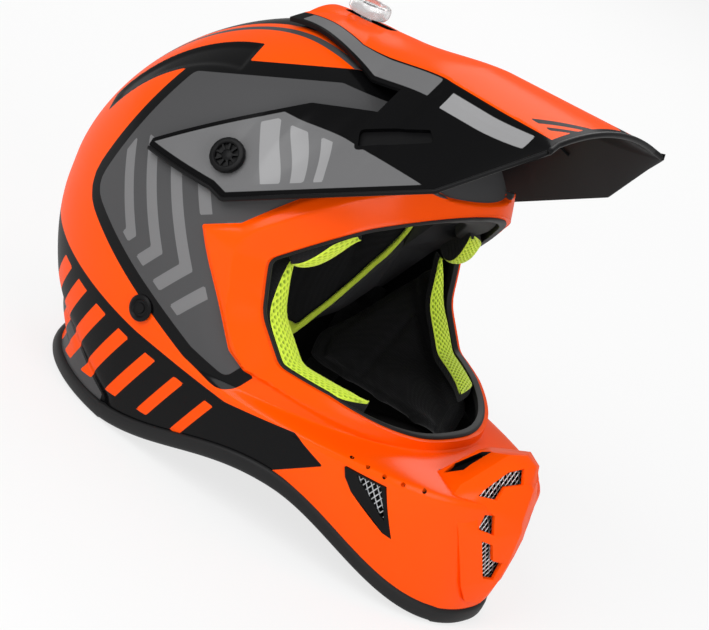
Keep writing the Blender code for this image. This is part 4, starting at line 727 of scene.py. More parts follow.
BAR_START, BAR_LEAN, BAR_AT, BAR_FOOT, BAR_FOOT_RISE = -96.0, 0.62, 40.0, 26.0, 0.05
STRIPE_HALF, STRIPE_FROM = 36.0, 150.0
PINSTRIPE, PINSTRIPE_FROM, PINSTRIPE_END = (42.0, 47.0), 160.0, 70.0
LIP_END = -12.0
# Painted shade: ink on the shelf under the mouthpiece's hood, seen through its roof slots, with a thin
# painted shadow line just behind the hood.
HOOD_PAINTED_SHADE = np.array([(172.0, -9.0), (170.6, 9.0), (166.8, 33.5), (180.0, 37.0), (200.0, 20.0),
                       (200.0, -9.0)])
HOOD_PAINTED_SHADE_FROM = 58.0


def overlap(*fields):
    """Where all fields lie over each other."""
    return np.minimum.reduce(fields)


def shell_marks(points):
    """Signed distances of the ink, grey, pale and orange fields."""
    across, forward, height = points.T
    out = np.abs(across)
    side, above = np.stack([forward, height], 1), np.stack([forward, out], 1)
    clear = -distance(side, SURROUND)
    temple = overlap(distance(side, TEMPLE), clear)
    blade = overlap(distance(side, BLADE), clear - BLADE_GAP)
    crown = overlap(STRIPE_HALF - out, height - STRIPE_FROM, clear)
    slot = overlap(distance(above, CROWN_SLOT), height - WIDEST)
    # The hood field is painted shade in ink.
    hood = overlap(distance(above, HOOD_PAINTED_SHADE), height - HOOD_PAINTED_SHADE_FROM)
    ink = np.maximum.reduce([overlap(temple + TEMPLE_EDGE, clear), blade, crown, slot, hood])
    pin = overlap(out - PINSTRIPE[0], PINSTRIPE[1] - out, height - PINSTRIPE_FROM, clear,
                  -temple - TEMPLE_EDGE, PINSTRIPE_END - forward)
    lip = overlap(np.interp(forward, LIP_GROOVE[:, 0], LIP_GROOVE[:, 1]) - height, LIP_END - forward)
    grey = np.maximum.reduce([temple, pin, lip])
    chevrons = np.full(len(points), NOWHERE)
    for i in range(CHEVRONS):
        along = forward - (CHEVRON_START + CHEVRON_STEP * i) + CHEVRON_LEAN * np.abs(height - CHEVRON_AT)
        chevrons = np.maximum(chevrons, overlap(along, CHEVRON_WIDTH - along))
    pale = overlap(chevrons, temple - TEMPLE_MARGIN, CHEVRON_TOP - height)
    bars = np.full(len(points), NOWHERE)
    for i in range(BARS):
        along = forward - BAR_LEAN * (height - BAR_AT) - (BAR_START + BAR_STEP * i)
        bars = np.maximum(bars, overlap(along, BAR_WIDTH - BAR_TAPER * i - along))
    orange = overlap(bars, blade - BLADE_MARGIN, height - BAR_FOOT - BAR_FOOT_RISE * forward)
    return dict(zip(MARKS, (ink, grey, pale, orange)))


print("shell graphics:", CHEVRONS, "chevrons and", BARS, "bars on each side")

# %% [markdown]
# The fields are kept on the points of the mesh, where the paint reads them. Inside, and in the walls of
# its small holes, the shell stays bare dark plastic, so those faces take a second material.

# %% Paint on the shell
BARE_FACING, WALL_FACING, PORT_EDGE = -0.3, 0.35, 1.2


def keep_marks(piece, marks):
    """Store values on the points of a mesh."""
    for name, values in marks.items():
        layer = piece.data.attributes.new(name, "FLOAT", "POINT")
        layer.data.foreach_set("value", np.asarray(values, np.float32))


def read_rows(items, field):
    """A field of three numbers from each point or face of a mesh."""
    flat = np.zeros(len(items) * 3)
    items.foreach_get(field, flat)
    return flat.reshape(-1, 3)


def own_points(piece):
    """A piece's points in the helmet's own frame."""
    return from_row(read_rows(piece.data.vertices, "co"))


def bare_inside(piece):
    """Leave the inside of the shell and the walls of its small holes as bare dark plastic."""
    centre = from_row(read_rows(piece.data.polygons, "center"))
    facing = read_rows(piece.data.polygons, "normal") @ np.array(LEAN) * FORWARD_FLIP
    out = (shell_normal(centre) * facing).sum(1)
    at_port = np.abs(distance(centre[:, 1:], PORT)) < PORT_EDGE
    bare = (out < BARE_FACING) | ((out < WALL_FACING) & ~at_port & (centre[:, 2] < SHELF_TOP))
    piece.data.polygons.foreach_set("material_index", bare.astype(np.int32))
    return int(bare.sum())


keep_marks(shell_skin, shell_marks(own_points(shell_skin)))
dress(shell_skin, shell_paint, nodes=["outer_shell"])
shell_skin.data.materials.append(abs_black)
print("painted", shell_skin.name, "with bare faces:", bare_inside(shell_skin))

# %% [markdown]
# The peak is one injection moulding: a raised tongue over the crown, a grey flank that ends in a scoop,
# and two arms with a wing. It could be modelled from a block, but lines that follow the shell keep it
# clear of the crown, so first come those lines: the crest of the tongue and the foot of the flank.

# %% Lines of the peak
PEAK_WALL, ARM_CLEAR, CREST_CLEAR, KNOB_AT = 2.6, 2.4, 3.6, -8.0
PEAK_REAR, PEAK_JOIN, PEAK_FRONT, CREST_FRONT = -30.0, 62.0, 163.0, 273.0
TONGUE_REAR, TONGUE_FRONT, CAMBER = 27.0, 56.0, 8.0
HUMP, HUMP_START, HUMP_AT = 4.5, 25.0, 80.0
FLANK_OUT, FLANK_DROP = 7.2, 9.0
SCOOP_AT, SCOOP_LENGTH, SCOOP_OUT, SCOOP_DROP = 80.0, 5.0, 6.0, 5.0
FRONT_CORNER, FOOT_TURN = np.array((66.0, 165.0, 262.0)), 118.0
HALVINGS = 24


def crest(f):
    """Height of the tongue's middle line, with the hump that shows in its outline."""
    over = WIDEST + RISE + CREST_CLEAR + PEAK_WALL
    back = np.clip((KNOB_AT - f) / BACK, 0.0, 1.0)
    share = np.clip((f - KNOB_AT) / (PEAK_FRONT - KNOB_AT), 0.0, None)
    hump = np.where(f < HUMP_AT, ease((f - HUMP_START) / (HUMP_AT - HUMP_START)),
                    np.clip((PEAK_FRONT - f) / (PEAK_FRONT - HUMP_AT), 0.0, 1.0))
    return over - RISE * (1.0 - np.sqrt(1.0 - back ** 2)) + (CREST_FRONT - over) * share + HUMP * hump


def crown_top(across, forward):
    """Height of the shell's top at a place seen from above, by halving."""
    low = np.full(np.shape(across), WIDEST)
    high = np.full(np.shape(across), WIDEST + RISE)
    for _ in range(HALVINGS):
        middle = (low + high) / 2.0
        under = half_width(forward, middle) > np.abs(across)
        low = np.where(under, middle, low)
        high = np.where(under, high, middle)
    return low


def tongue_half(f):
    """Half width of the tongue."""
    return TONGUE_REAR + (TONGUE_FRONT - TONGUE_REAR) * (f - PEAK_REAR) / (PEAK_FRONT - PEAK_REAR)


def over_crown(x, f, z):
    """Points lifted where needed to clear the shell."""
    lifted = np.maximum(z, crown_top(x, f) + CREST_CLEAR + PEAK_WALL)
    return np.stack(np.broadcast_arrays(x, f, lifted), -1)


def flank_reach(f):
    """How far the flank stands out and drops: more behind the scoop than ahead of it."""
    share = 1.0 - ease((f - SCOOP_AT) / SCOOP_LENGTH)
    return tongue_half(f) + FLANK_OUT + SCOOP_OUT * share, CAMBER + FLANK_DROP + SCOOP_DROP * share


def flank_foot(f):
    """The flank's lower line, which runs into the peak's front corner."""
    reach, drop = flank_reach(f)
    foot = over_crown(reach, f, crest(f) - drop)
    share = ease((f - FOOT_TURN) / (PEAK_FRONT - FOOT_TURN))[..., None]
    return foot + (FRONT_CORNER - foot) * share


print("crest of the peak from", round(float(crest(np.array(PEAK_REAR))), 1), "to", CREST_FRONT, "mm")

# %% [markdown]
# Each arm lies along the shell to its side screw and then runs straight out to the wing's corner.

# %% Lines of the arms
WING_CORNER, WING_LEAN = np.array((98.0, 130.0, 221.0)), 0.55
ARM_REAR, ARM_TIP, ARM_TOP = (-35.0, 165.0), (25.0, 163.0), (32.0, 224.0)
ARM_HEEL, ARM_STEP = 4.0, 14.0


def arm_face(f, h):
    """Half width of the arm's outer face: along the shell, then straight to the wing's corner."""
    skin = half_width(np.minimum(f, PIVOT[1]), h) + ARM_CLEAR + PEAK_WALL
    share = ease((f - PIVOT[1]) / (WING_CORNER[1] - PIVOT[1]))
    return skin + (WING_CORNER[0] - (h - WING_CORNER[2]) * WING_LEAN - skin) * share


def low_edge(f):
    """The lower edge of arm and wing, as points."""
    h = np.interp(f, (ARM_REAR[0], PIVOT[1], ARM_TIP[0], WING_CORNER[1]),
                  (ARM_REAR[1], ARM_REAR[1], ARM_TIP[1], WING_CORNER[2]))
    along = np.clip((f - WING_CORNER[1]) / (PEAK_FRONT - WING_CORNER[1]), 0.0, 1.0)[..., None]
    edge = np.stack([arm_face(f, h), f, h], -1)
    return np.where(along > 0.0, WING_CORNER + (FRONT_CORNER - WING_CORNER) * along, edge)


def arm_roof(f):
    """Height of the arm's free upper edge."""
    joint = flank_foot(np.array([PEAK_JOIN]))[0, 2] - ARM_STEP
    return np.interp(f, (ARM_REAR[0], ARM_TOP[0], PEAK_JOIN), (ARM_REAR[1] + ARM_HEEL, ARM_TOP[1], joint))


def side_line(f):
    """Both ends of the side at one station: the lower edge and the flank's foot."""
    return low_edge(np.array([f]))[0], flank_foot(np.array([f]))[0]


def side_column(f, shares):
    """A column of arm or wing points at shares of the way from the lower edge to the flank's foot."""
    low, foot = side_line(f)
    straight = low + (foot - low) * shares[:, None]
    curved = straight.copy()
    curved[:, 0] = arm_face(np.full_like(shares, f), straight[:, 2])
    blend = ease((f - ARM_TOP[0]) / (PEAK_JOIN - ARM_TOP[0]))
    return curved + (straight - curved) * blend


print("wing's corner", WING_CORNER.tolist(), "mm")

# %% [markdown]
# The lines become a fine sheet for one half, mirrored and welded. The wall thickness comes later, so
# that the outer face keeps exactly these points.

# %% Peak sheet
TOP_COLUMNS, FLANK_COLUMNS, ARM_ROWS, CHEST_ROWS = 40, 10, 60, 16
REAR_STATIONS, JOIN_STATIONS, ARM_STATIONS = 75, 100, 90
WELD, PEAK_SHARP = 0.02, 28.0


def tongue_row(f):
    """One row across half the tongue and down its flank."""
    t = np.linspace(0.0, 1.0, TOP_COLUMNS)
    x = tongue_half(f) * t
    top = over_crown(x, np.full_like(x, f), crest(f) - CAMBER * t ** 2)
    foot = flank_foot(np.array([f]))[0]
    share = np.linspace(0.0, 1.0, FLANK_COLUMNS + 1)[1:, None]
    return np.concatenate([top, top[-1] + (foot - top[-1]) * share])


def roof_share(f):
    """Share of the side's height that the arm's upper edge reaches."""
    low, foot = side_line(f)
    return (float(arm_roof(f)) - low[2]) / (foot[2] - low[2])


def turn_faces(bm, towards):
    """Reverse a sheet's faces if most of their area looks away from a direction."""
    if sum((face.normal @ Vector(towards)) * face.calc_area() for face in bm.faces) < 0.0:
        bmesh.ops.reverse_faces(bm, faces=bm.faces)


join_stations = np.linspace(PEAK_JOIN, PEAK_FRONT, JOIN_STATIONS)
stations = np.concatenate([np.linspace(PEAK_REAR, PEAK_JOIN, REAR_STATIONS), join_stations[1:]])
tongue = np.stack([tongue_row(f) for f in stations])
arm = np.stack([side_column(f, np.linspace(0.0, roof_share(f), ARM_ROWS))
                for f in np.linspace(ARM_REAR[0], PEAK_JOIN, ARM_STATIONS)])
join_share = roof_share(PEAK_JOIN)
wing_shares = np.concatenate([np.linspace(0.0, join_share, ARM_ROWS),
                              np.linspace(join_share, 1.0, CHEST_ROWS)[1:]])
wing = np.stack([side_column(f, wing_shares) for f in join_stations])
peak_skin = joined("peak_skin", [(on_side(sheet.reshape(-1, 3), side), grid_faces(*sheet.shape[:2]))
                                 for side in (1.0, -1.0) for sheet in (tongue, arm, wing)])
bm = bmesh.new()
bm.from_mesh(peak_skin.data)
bmesh.ops.remove_doubles(bm, verts=bm.verts, dist=WELD * MM)
bmesh.ops.recalc_face_normals(bm, faces=bm.faces)
turn_faces(bm, (0.0, 0.0, 1.0))
bm.to_mesh(peak_skin.data)
bm.free()
peak_skin.data.shade_smooth()
peak_skin.data.set_sharp_from_angle(angle=math.radians(PEAK_SHARP))
print("peak sheet:", len(peak_skin.data.polygons), "faces")

# %% [markdown]
# The sheet gets its wall, bare black on the underside and the rims. Then a slit is cut through each arm,
# and a slot under the knob, in which the knob's stem slides when the peak is tilted.

# %% Wall, slits and knob slot of the peak
SLIT = round_outline([(62.0, 223.0, 2.0), (97.0, 240.0, 2.0), (105.0, 236.0, 1.5), (70.0, 216.5, 2.0)])
SLIT_DEPTH = 6.0
KNOB_SLOT = round_outline([(-20.0, -5.0, 3.0), (12.0, -5.0, 3.0), (12.0, 5.0, 3.0), (-20.0, 5.0, 3.0)])
KNOB_SLOT_REACH = 20.0


def walled(piece, thickness, finish, bare_rim):
    """Give a sheet its wall: painted outside, bare black plastic inside, and on its rim if asked."""
    piece.data.materials.append(finish)
    piece.data.materials.append(abs_black)
    wall = piece.modifiers.new("wall", "SOLIDIFY")
    wall.thickness = thickness * MM
    wall.offset = -1.0
    wall.material_offset = 1
    wall.material_offset_rim = int(bare_rim)
    apply_modifiers(piece)


def on_arm(spot, lift):
    """A point lifted from the arm's face at a place seen from the side."""
    f, h = spot
    low, foot = side_line(f)
    away = np.array((foot[2] - low[2], 0.0, low[0] - foot[0]))
    face = side_column(f, np.array([(h - low[2]) / (foot[2] - low[2])]))[0]
    return face + unit(away) * lift


walled(peak_skin, PEAK_WALL, peak_paint, bare_rim=True)
slits = [loft([[on_side(on_arm(spot, lift), side) for spot in SLIT] for lift in (-SLIT_DEPTH, SLIT_DEPTH)])
         for _, side in SIDES]
knob_slot = loft([[(x, f, WIDEST + RISE + up) for f, x in KNOB_SLOT] for up in (0.0, KNOB_SLOT_REACH)])
cut(peak_skin, joined("slit_tool", [*slits, knob_slot]), PEAK_SHARP)
print("peak with its wall:", len(peak_skin.data.polygons), "faces")

# %% [markdown]
# The peak's paint: orange on the tongue, grey on the flank and the arms, black elsewhere, with slanted
# bars of the builder's own as graphics. Its underside and its rolled edges stay bare black plastic.

# %% Paint of the peak
SLOT_LIP, TONGUE_EDGE, FRONT_EDGE = 0.6, 0.8, 4.5
TIP_BARS, TIP_LEAN = ((172.0, 179.0), (184.0, 189.0)), 0.8
TIP_FROM, TIP_SIDE, TIP_MARGIN = 112.0, 16.0, 7.0
PANEL_IN, PANEL_OUT, PANEL_REAR, PANEL_END = 1.6, 2.0, -22.0, 1.0
PLATE_MARGIN, PLATE_TOP, PLATE_RISE, SLIT_MARGIN, OPEN = 3.0, 213.0, 0.05, 2.0, 99.0
ARM_BARS = ((30.0, 14.0), (51.0, 10.0), (68.0, 7.0))
ARM_BAR_LEAN, ARM_BAR_AT, ARM_BAR_MARGIN = 0.9, 190.0, 4.0
SILL_IN, SILL_OUT, SILL_REAR, SILL_FRONT = 4.0, 5.0, 90.0, 150.0


def peak_marks(points):
    """Signed distances of the peak's painted fields."""
    x, f, h = np.abs(points[:, 0]), points[:, 1], points[:, 2]
    half = tongue_half(f)
    reach, _ = flank_reach(f)
    slot = distance(points[:, [1, 0]], KNOB_SLOT) + SLOT_LIP
    lean = f + TIP_LEAN * x
    tip = np.maximum.reduce([overlap(lean - start, end - lean) for start, end in TIP_BARS])
    tip = overlap(tip, x - TIP_SIDE, half - TIP_MARGIN - x, f - TIP_FROM)
    ink = np.maximum.reduce([x - half - TONGUE_EDGE, slot, tip, f - PEAK_FRONT + FRONT_EDGE])
    panel = overlap(x - half - PANEL_IN, reach - PANEL_OUT - x, SCOOP_AT - PANEL_END - f, f - PANEL_REAR)
    under_roof = np.where(f < PEAK_JOIN, arm_roof(f) - h - PLATE_MARGIN, OPEN)
    plate = overlap(h - low_edge(f)[:, 2] - PLATE_MARGIN, x - reach - PLATE_MARGIN,
                    PLATE_TOP - h + PLATE_RISE * f, under_roof,
                    -distance(np.stack([f, h], 1), SLIT) - SLIT_MARGIN)
    along = f + ARM_BAR_LEAN * (h - ARM_BAR_AT)
    bars = np.maximum.reduce([overlap(along - start, start + width - along) for start, width in ARM_BARS])
    bars = overlap(bars, plate - ARM_BAR_MARGIN)
    sill = overlap(x - half - SILL_IN, reach + SILL_OUT - x, f - SILL_REAR, SILL_FRONT - f)
    nothing = np.full(len(f), NOWHERE)
    return dict(zip(MARKS, (ink, np.maximum(panel, plate), np.maximum(bars, sill), nothing)))


keep_marks(peak_skin, peak_marks(own_points(peak_skin)))
enlist(peak_skin, "peak", ["peak"])
print("painted", peak_skin.name)

# %% [markdown]
# Behind each slit lies a black backing as painted shade, and a rolled edge runs round the free rim of
# arms, wings and front: a tube along the lower edge, a little thicker across the front lip.

# %% Slit shade backs and rolled edge
SLIT_BACK = np.array([[(58.0, 222.5), (97.0, 242.5)], [(69.0, 214.0), (109.0, 236.5)]])
SLIT_STEPS, SLIT_BACK_WALL = 24, 1.2
ROLL_RADIUS, FRONT_ROLL_RADIUS, ROLL_SIDES = 1.3, 1.7, 10
ARM_ROLL_STEPS, WING_ROLL_STEPS, ROLL_START = 80, 24, 1.0


def directions(path, closed):
    """Direction of travel at each point of a path."""
    before, after = np.roll(path, 1, 0), np.roll(path, -1, 0)
    if not closed:
        before[0] = path[0]
        after[-1] = path[-1]
    return unit(after - before)


def tube(path, radius, sides, closed=False, up=(0.0, 0.0, 1.0)):
    """A tube along a path; radius may be one number or one for each point."""
    path = np.asarray(path, float)
    along = directions(path, closed)
    side = unit(np.cross(along, np.array(up)))
    over = np.cross(side, along)
    angle = np.arange(sides) * TURN / sides
    radius = np.broadcast_to(np.asarray(radius, float), (len(path),))[:, None, None]
    ring = side[:, None] * np.cos(angle)[None, :, None] + over[:, None] * np.sin(angle)[None, :, None]
    return loft(path[:, None] + ring * radius, closed)


def slit_shade_back(side):
    """A thin dark plate behind one slit, bent as the arm is; it stands in for shade."""
    rings = []
    for t in np.linspace(0.0, 1.0, SLIT_STEPS):
        upper, lower = (a + (b - a) * t for a, b in SLIT_BACK)
        deep = -PEAK_WALL - SLIT_BACK_WALL
        corners = ((upper, -PEAK_WALL), (lower, -PEAK_WALL), (lower, deep), (upper, deep))
        rings.append([on_side(on_arm(spot, lift), side) for spot, lift in corners])
    return loft(rings)


# Painted shade: dark plates behind the slits.
backs = joined("peak_slit_shade_backs", [slit_shade_back(side) for _, side in SIDES])
dress(backs, abs_black, "peak", ["peak"])
lower = low_edge(np.concatenate([np.linspace(ARM_REAR[0] + ROLL_START, WING_CORNER[1], ARM_ROLL_STEPS),
                                 np.linspace(WING_CORNER[1], PEAK_FRONT, WING_ROLL_STEPS)[1:]]))
front = tongue_row(PEAK_FRONT)[::-1][1:]
half_edge = np.concatenate([lower, front])
thick = np.concatenate([np.full(len(lower), ROLL_RADIUS), np.full(len(front), FRONT_ROLL_RADIUS)])
whole_edge = np.concatenate([half_edge, on_side(half_edge[::-1][1:], -1.0)])
whole_edge = whole_edge - np.array((0.0, 0.0, ROLL_RADIUS))
rolled = joined("peak_rolled_edge", [tube(whole_edge, np.concatenate([thick, thick[::-1][1:]]), ROLL_SIDES)])
dress(rolled, abs_black, "peak", ["peak"])
print("backed the slits and rolled the peak's edge")

# %% [markdown]
# The mouthpiece is a separate moulding clipped over the chin: a hood, two cheeks and a shield that
# stands forward between three slots on each side. Its facets are few and flat, so its corners are listed
# one by one, as (across, forward, height), and each facet names its corners.

# %% Corners and facets of the mouthpiece
NOSE = {"crest": (0.0, 196.8, 92.3), "tip": (0.0, 204.2, 89.3), "rear": (0.0, 174.0, 84.5),
        "ridge": (12.0, 192.4, 91.1), "hood": (9.0, 172.5, 82.8), "corner": (41.0, 186.5, 71.3),
        "root": (37.0, 168.0, 68.6), "cheek": (47.0, 188.0, 64.0), "lip": (34.0, 195.8, 69.2),
        "lip_a": (8.4, 202.4, 88.0), "lip_b": (15.8, 198.4, 84.4), "lip_c": (29.4, 196.4, 74.2),
        "brow": (0.0, 206.6, 79.3), "brow_a": (7.1, 205.6, 79.2), "brow_b": (18.4, 201.2, 76.2),
        "brow_c": (22.6, 202.0, 68.7), "top": (0.0, 209.2, 77.2), "mid": (0.0, 211.2, 57.0),
        "step": (0.0, 213.2, 53.0), "low": (0.0, 214.0, 32.5), "end": (0.0, 213.0, 20.5),
        "two_a": (33.0, 198.0, 64.2), "two_b": (22.0, 204.4, 60.1), "two_c": (18.0, 207.0, 49.0),
        "two_d": (29.2, 202.0, 51.0), "three_a": (24.2, 204.8, 44.6), "three_b": (17.0, 208.4, 43.4),
        "three_c": (11.8, 210.2, 33.7), "three_d": (4.9, 212.8, 32.9), "three_e": (4.6, 212.0, 21.6),
        "three_f": (10.8, 208.6, 21.5), "side_a": (44.5, 193.6, 55.9), "side_b": (40.4, 196.6, 48.0),
        "side_c": (32.2, 200.6, 32.0), "side_d": (22.4, 203.8, 15.0), "foot": (13.0, 205.5, 5.0),
        "chin": (0.0, 208.5, 4.0)}
NOSE_FACES = ["corner ridge hood root", "ridge crest rear hood", "corner root cheek",
              "tip crest ridge lip_a", "ridge lip_b lip_a", "ridge corner lip_c lip_b", "corner lip lip_c",
              "tip lip_a brow_a brow", "brow brow_a brow_b top", "top brow_b brow_c",
              "top brow_c two_b mid", "mid two_b two_c step",
              "step two_c three_b", "step three_b three_c", "step three_c three_d low",
              "low three_d three_e end", "lip two_a two_b brow_c", "two_c two_d three_a three_b",
              "lip corner cheek", "lip cheek side_a two_a", "two_a side_a side_b two_d",
              "two_d side_b three_a", "three_a side_b side_c", "three_a side_c three_f",
              "three_f side_c side_d", "end three_e three_f side_d", "end side_d foot chin"]
NOSE_SLOTS = ["lip_a lip_b lip_c lip brow_c brow_b brow_a", "two_a two_b two_c two_d",
              "three_a three_b three_c three_d three_e three_f"]
NOSE_WALL = 2.6
names = list(NOSE)
points = [np.array(NOSE[n]) for n in names]
faces = []
for listed in NOSE_FACES:
    corners = [names.index(n) for n in listed.split()]
    faces.append(corners)
    faces.append([i if NOSE[names[i]][0] == 0.0 else i + len(names) for i in reversed(corners)])
nose = mesh_object("mouthpiece_moulding", np.array(points + [on_side(p, -1.0) for p in points]), faces)
bm = bmesh.new()
bm.from_mesh(nose.data)
bmesh.ops.delete(bm, geom=[v for v in bm.verts if not v.link_faces], context="VERTS")
turn_faces(bm, (0.0, -1.0, 0.0))
bm.to_mesh(nose.data)
bm.free()
walled(nose, NOSE_WALL, shell_paint, bare_rim=False)
print("mouthpiece:", len(NOSE_FACES), "facets on each side")

# %% [markdown]
# A slot is cut in each side of the hood. Black plates lie close under these slots and a rib stands
# behind the shield: dark sheets that stand in for shade, so that no light shows through from side to side.

# %% Roof slots, shade plates and bevels
ROOF_SLOT = np.array([(36.0, 172.0), (30.5, 179.5), (10.0, 181.0), (11.0, 176.0), (26.0, 171.2)])
ROOF_CUT = (66.0, 110.0)
PLATE = [(37.0, 171.5), (32.0, 182.0), (9.0, 184.0), (9.0, 175.0), (26.0, 170.6)]
HOOD_AT, HOOD_FALL, HOOD_RISE, HOOD_REAR = 86.6, 0.48, 0.2, 168.0
PLATE_DROP, PLATE_WALL, RIB_HALF = 3.1, 1.2, 0.8
CENTRE_RIB = [(175.4, 68.4), (175.4, 81.2), (196.2, 88.6), (201.6, 86.4), (203.6, 78.0), (205.8, 75.0),
              (207.8, 57.0), (209.8, 52.4), (210.6, 32.5), (209.8, 21.5), (202.6, 20.5), (202.6, 64.4),
              (194.0, 66.4)]
NOSE_BEVEL, BEVEL_ANGLE, BEVEL_SHARP = 0.8, 25.0, 30.0
SLOT_WALL_NEAR, SLOT_WALL_FACING = 0.9, 0.5


def hood_shade_plate(side):
    """A dark plate a little wider than a roof slot, close below the hood, that stands in for shade."""
    rings = []
    for drop in (PLATE_DROP, PLATE_DROP + PLATE_WALL):
        rings.append([(side * x, f, HOOD_AT - HOOD_FALL * x + HOOD_RISE * (f - HOOD_REAR) - drop)
                      for x, f in PLATE])
    return loft(rings)


def bevelled(piece, width, segments=3):
    """Small round edges, baked, so that every moulded edge catches light."""
    step = piece.modifiers.new("edges", "BEVEL")
    step.width = width * MM
    step.segments = segments
    step.limit_method = "ANGLE"
    step.angle_limit = math.radians(BEVEL_ANGLE)
    step.harden_normals = False
    apply_modifiers(piece)
    piece.data.shade_smooth()
    piece.data.set_sharp_from_angle(angle=math.radians(BEVEL_SHARP))
    return piece


roof_slots = [loft([[(side * x, f, h) for x, f in ROOF_SLOT] for h in ROOF_CUT]) for _, side in SIDES]
cut(nose, joined("roof_slot_tool", roof_slots))
plates = [hood_shade_plate(side) for _, side in SIDES]
# Painted shade: the dark plates and the rib stand in for the shade under the hood and behind the shield.
shade_plates = joined("mouthpiece_shade_plates", [*plates, side_prism(CENTRE_RIB, -RIB_HALF, RIB_HALF)])
dress(shade_plates, abs_black, "shell", ["mouthpiece"])
bevelled(nose, NOSE_BEVEL, 2)
# Painted shade: the walls of the roof slots take the black plastic, so that the slots read dark.
centre = from_row(read_rows(nose.data.polygons, "center"))
from_above = np.stack([np.abs(centre[:, 0]), centre[:, 1]], 1)
slot_wall_shade = (np.abs(distance(from_above, ROOF_SLOT)) < SLOT_WALL_NEAR) & (centre[:, 2] > SHELF_TOP)
slot_wall_shade &= np.abs(read_rows(nose.data.polygons, "normal")[:, 2]) < SLOT_WALL_FACING
finishes = np.zeros(len(nose.data.polygons), np.int32)
nose.data.polygons.foreach_get("material_index", finishes)
nose.data.polygons.foreach_set("material_index", np.where(slot_wall_shade, 1, finishes))
keep_marks(nose, {mark: np.full(len(nose.data.vertices), NOWHERE) for mark in MARKS})
enlist(nose, "shell", ["mouthpiece"])
print("mouthpiece:", len(nose.data.polygons), "faces")

# %% [markdown]
# Wire fills the vents: flattened diamonds of thin stainless steel, expanded from sheet on the real part.
# A texture would look flat from the side, so each strand is a thin tube, clipped to its opening and laid
# on a curved sheet.

# %% Wires of the mouthpiece
WIRE, WIRE_SIDES, WIRE_STEP = 0.34, 5, 0.8
MESH_PITCH, MESH_SLANT = 2.6, 62.0
WIRE_UP = (0.3, 1.0, 0.2)
SHORTEST_WIRE = 2
NOSE_SPREAD, NOSE_OVERLAP = (4.5, 2.5), 0.9
SHEET_AT, SHEET_SIDE, SHEET_BEND, SHEET_RISE, SHEET_DROP = 208.6, 0.33, 40.0, 0.17, 0.05


def inset_outline(outline, amount):
    """An outline moved inwards by a distance, corner by corner."""
    outline = np.asarray(outline, float)
    turn = 1.0 if np.cross(outline[1] - outline[0], outline[2] - outline[1]) > 0.0 else -1.0
    moved = []
    for i, p in enumerate(outline):
        a, b = unit(p - outline[i - 1]), unit(outline[(i + 1) % len(outline)] - p)
        na, nb = turn * np.array((-a[1], a[0])), turn * np.array((-b[1], b[0]))
        moved.append(p + (na + nb) * amount / (1.0 + float(na @ nb)))
    return np.array(moved)


def wires(outline, place, spread=(0.0, 0.0)):
    """Two crossed sets of wires inside an outline, also moved by a spread; place lays flat points down."""
    middle, size = outline.mean(0), np.ptp(outline, axis=0).max()
    parts = []
    for slant in np.radians((MESH_SLANT, -MESH_SLANT)):
        along = np.array((math.cos(slant), math.sin(slant)))
        across = np.array((-along[1], along[0]))
        for offset in np.arange(-size, size, MESH_PITCH):
            run = middle + across * offset + along * np.arange(-size, size, WIRE_STEP)[:, None]
            inside = (distance(run, outline) > 0.0) | (distance(run, outline + np.array(spread)) > 0.0)
            stops = np.flatnonzero(np.diff(np.concatenate([[False], inside, [False]]).astype(int)))
            parts += [tube(place(run[start:end]), WIRE, WIRE_SIDES, up=WIRE_UP)
                      for start, end in zip(stops[::2], stops[1::2]) if end - start > SHORTEST_WIRE]
    return parts


def nose_sheet(flat):
    """A sheet just behind the mouthpiece's frame."""
    x, h = flat.T
    f = SHEET_AT - SHEET_SIDE * np.abs(x) - SHEET_RISE * np.clip(h - SHEET_BEND, 0.0, None)
    return np.stack([x, f - SHEET_DROP * np.clip(SHEET_BEND - h, 0.0, None), h], 1)


strands = []
for _, side in SIDES:
    for listed in NOSE_SLOTS:
        outline = np.array([(side * NOSE[n][0], NOSE[n][2]) for n in listed.split()])
        spread = (-side * NOSE_SPREAD[0], -NOSE_SPREAD[1])
        strands += wires(inset_outline(outline, -NOSE_OVERLAP), nose_sheet, spread)
dress(joined("mouth_wire", strands), steel_wire, "shell", ["mouth_mesh"])
print("mouthpiece wired with", len(strands), "strands")

# %% [markdown]
# Each side vent is a black frame snapped into the chin bar, with wire in its window and a dark plate
# behind that stands in for shade. All three follow the flank of the shell, at depths measured from its skin.

# %% Side vents
VENT_WINDOW = np.array([(149.3, 60.3), (161.6, 59.1), (168.0, 41.0), (165.8, 42.4), (155.0, 53.5),
                        (150.6, 57.4)])
VENT_PROUD, VENT_MESH_DEPTH, VENT_GAP, VENT_BEVEL = 1.1, 0.8, 0.25, 0.6
VENT_BACK_GAP, VENT_BACK_FROM, VENT_BACK_TO, VENT_OVERLAP = 0.6, 0.2, 1.4, 0.8


def on_flank(side, inset):
    """A function that lays points seen from the side on one flank of the shell."""
    def place(flat):
        """Points (forward, height) at this depth of this flank."""
        f, h = np.asarray(flat, float).T
        return np.stack([side * half_width(f, h, inset), f, h], 1)
    return place


